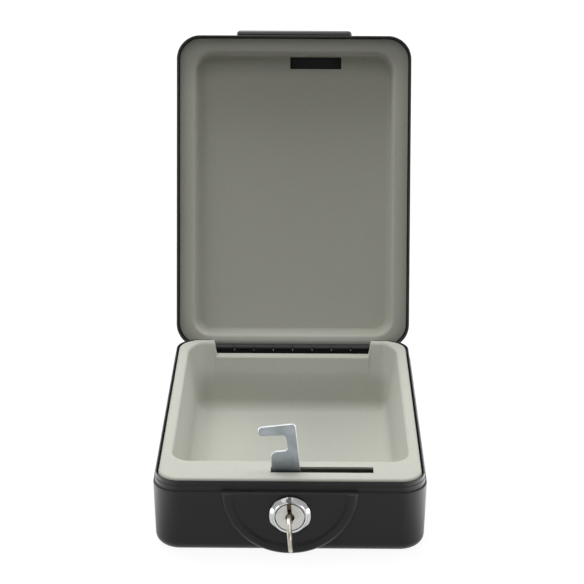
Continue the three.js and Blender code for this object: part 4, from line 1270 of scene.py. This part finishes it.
def set_camera():
    pitch, yaw, roll = (math.radians(a) for a in (PITCH, YAW, ROLL))
    level = Vector((-math.sin(yaw), math.cos(yaw), 0))
    side = Vector((math.cos(yaw), math.sin(yaw), 0))
    ahead = level * math.cos(pitch) - Vector((0, 0, math.sin(pitch)))
    down = -level * math.sin(pitch) - Vector((0, 0, math.cos(pitch)))
    right = side * math.cos(roll) - down * math.sin(roll)
    up = -(side * math.sin(roll) + down * math.cos(roll))
    camera = placed("camera", bpy.data.cameras.new("camera"))
    camera.data.lens = FOCAL_PX * SENSOR / FRAME_PX
    camera.data.sensor_width = SENSOR
    camera.data.clip_start, camera.data.clip_end = 0.05, 50
    turn = Matrix((right, up, -ahead)).transposed().to_4x4()
    camera.matrix_world = Matrix.Translation(Vector(CAMERA_AT) * MM) @ turn
    bpy.context.scene.camera = camera


def rays(nodes):
    """1 for what the eye sees, and 1 for what a reflection or a clear piece sees."""
    path = nodes.tree.nodes.new("ShaderNodeLightPath")
    kinds = ("Camera", "Glossy", "Transmission")
    eye, glossy, through = (Wire(nodes, path.outputs["Is %s Ray" % k]) for k in kinds)
    return eye, glossy + through


FLOOR_HALF, FLOOR_Z = 6000, -0.05
FLOOR_PAINT, FLOOR_GLOW, FLOOR_FAR = 0.1, 0.93, 0.07
FADE_NEAR, FADE_FAR = 0.3, 1.2  # metres from the middle, where the floor turns white
SKY = 0.21
SHINE, SHINE_LEFT, SHINE_RIGHT = 1.6, 5.5, 7  # how bright the floor is in reflections
SHINE_NEAR, SHINE_SIDE = 0.09, 0.2  # metres from the middle to the brighter sides


def set_floor():
    """Pale floor that keeps a shadow and turns to plain white further away."""
    ways = ((-1, -1), (1, -1), (1, 1), (-1, 1))
    corners = [(a * FLOOR_HALF, b * FLOOR_HALF, FLOOR_Z) for a, b in ways]
    finish = Finish("floor_paint", Roughness=1.0, Specular_IOR_Level=0.0)
    grey = (FLOOR_PAINT, FLOOR_PAINT, FLOOR_PAINT, 1)
    finish.shader.inputs["Base Color"].default_value = grey
    finish.shader.inputs["Emission Strength"].default_value = 1.0
    x, y, _ = finish.parts(finish.place())
    far = ((x * x + y * y) ** 0.5).above(FADE_NEAR, FADE_FAR)
    left = (0 - x).above(SHINE_NEAR, SHINE_SIDE)
    right = x.above(SHINE_NEAR, SHINE_SIDE)
    shine = SHINE + (SHINE_LEFT - SHINE) * left + (SHINE_RIGHT - SHINE) * right
    eye, mirrored = rays(finish)
    glow = eye * (FLOOR_GLOW + FLOOR_FAR * far) + mirrored * shine
    finish.feed(Emission_Color=glow)
    piece("floor", corners, [(0, 1, 2, 3)], finish.material)


def set_world():
    world = bpy.data.worlds.new("studio")
    bpy.context.scene.world = world
    world.use_nodes = True
    back = world.node_tree.nodes["Background"]
    back.inputs["Color"].default_value = (1, 1, 1, 1)
    nodes = Nodes(world.node_tree)
    eye, mirrored = rays(nodes)
    level = SKY + (1 - SKY) * (eye + mirrored)
    nodes.tree.links.new(level.socket, back.inputs["Strength"])


LAMPS = (  # name, place, aim, width and watts
    ("overhead", (-250, 700, 1500), (-150, 400, 0), 1500, 32.5),
    ("front_fill", (-300, -1000, 1400), (0, 100, 100), 1200, 4.3),
    ("left_side", (-1250, 250, 500), (0, 100, 60), 700, 4.5),
    ("right_side", (1250, 250, 500), (0, 100, 60), 700, 8.0),
)


def set_lamps():
    for name, place, aim, size, watts in LAMPS:
        data = bpy.data.lights.new(name, "AREA")
        data.shape, data.size, data.energy = "SQUARE", size * MM, watts
        lamp = placed(name, data)
        lamp.location = Vector(place) * MM
        towards = Vector(aim) - Vector(place)
        lamp.rotation_euler = towards.to_track_quat("-Z", "Y").to_euler()


set_camera()
set_floor()
set_world()
set_lamps()
bpy.context.scene.view_settings.view_transform = "Standard"
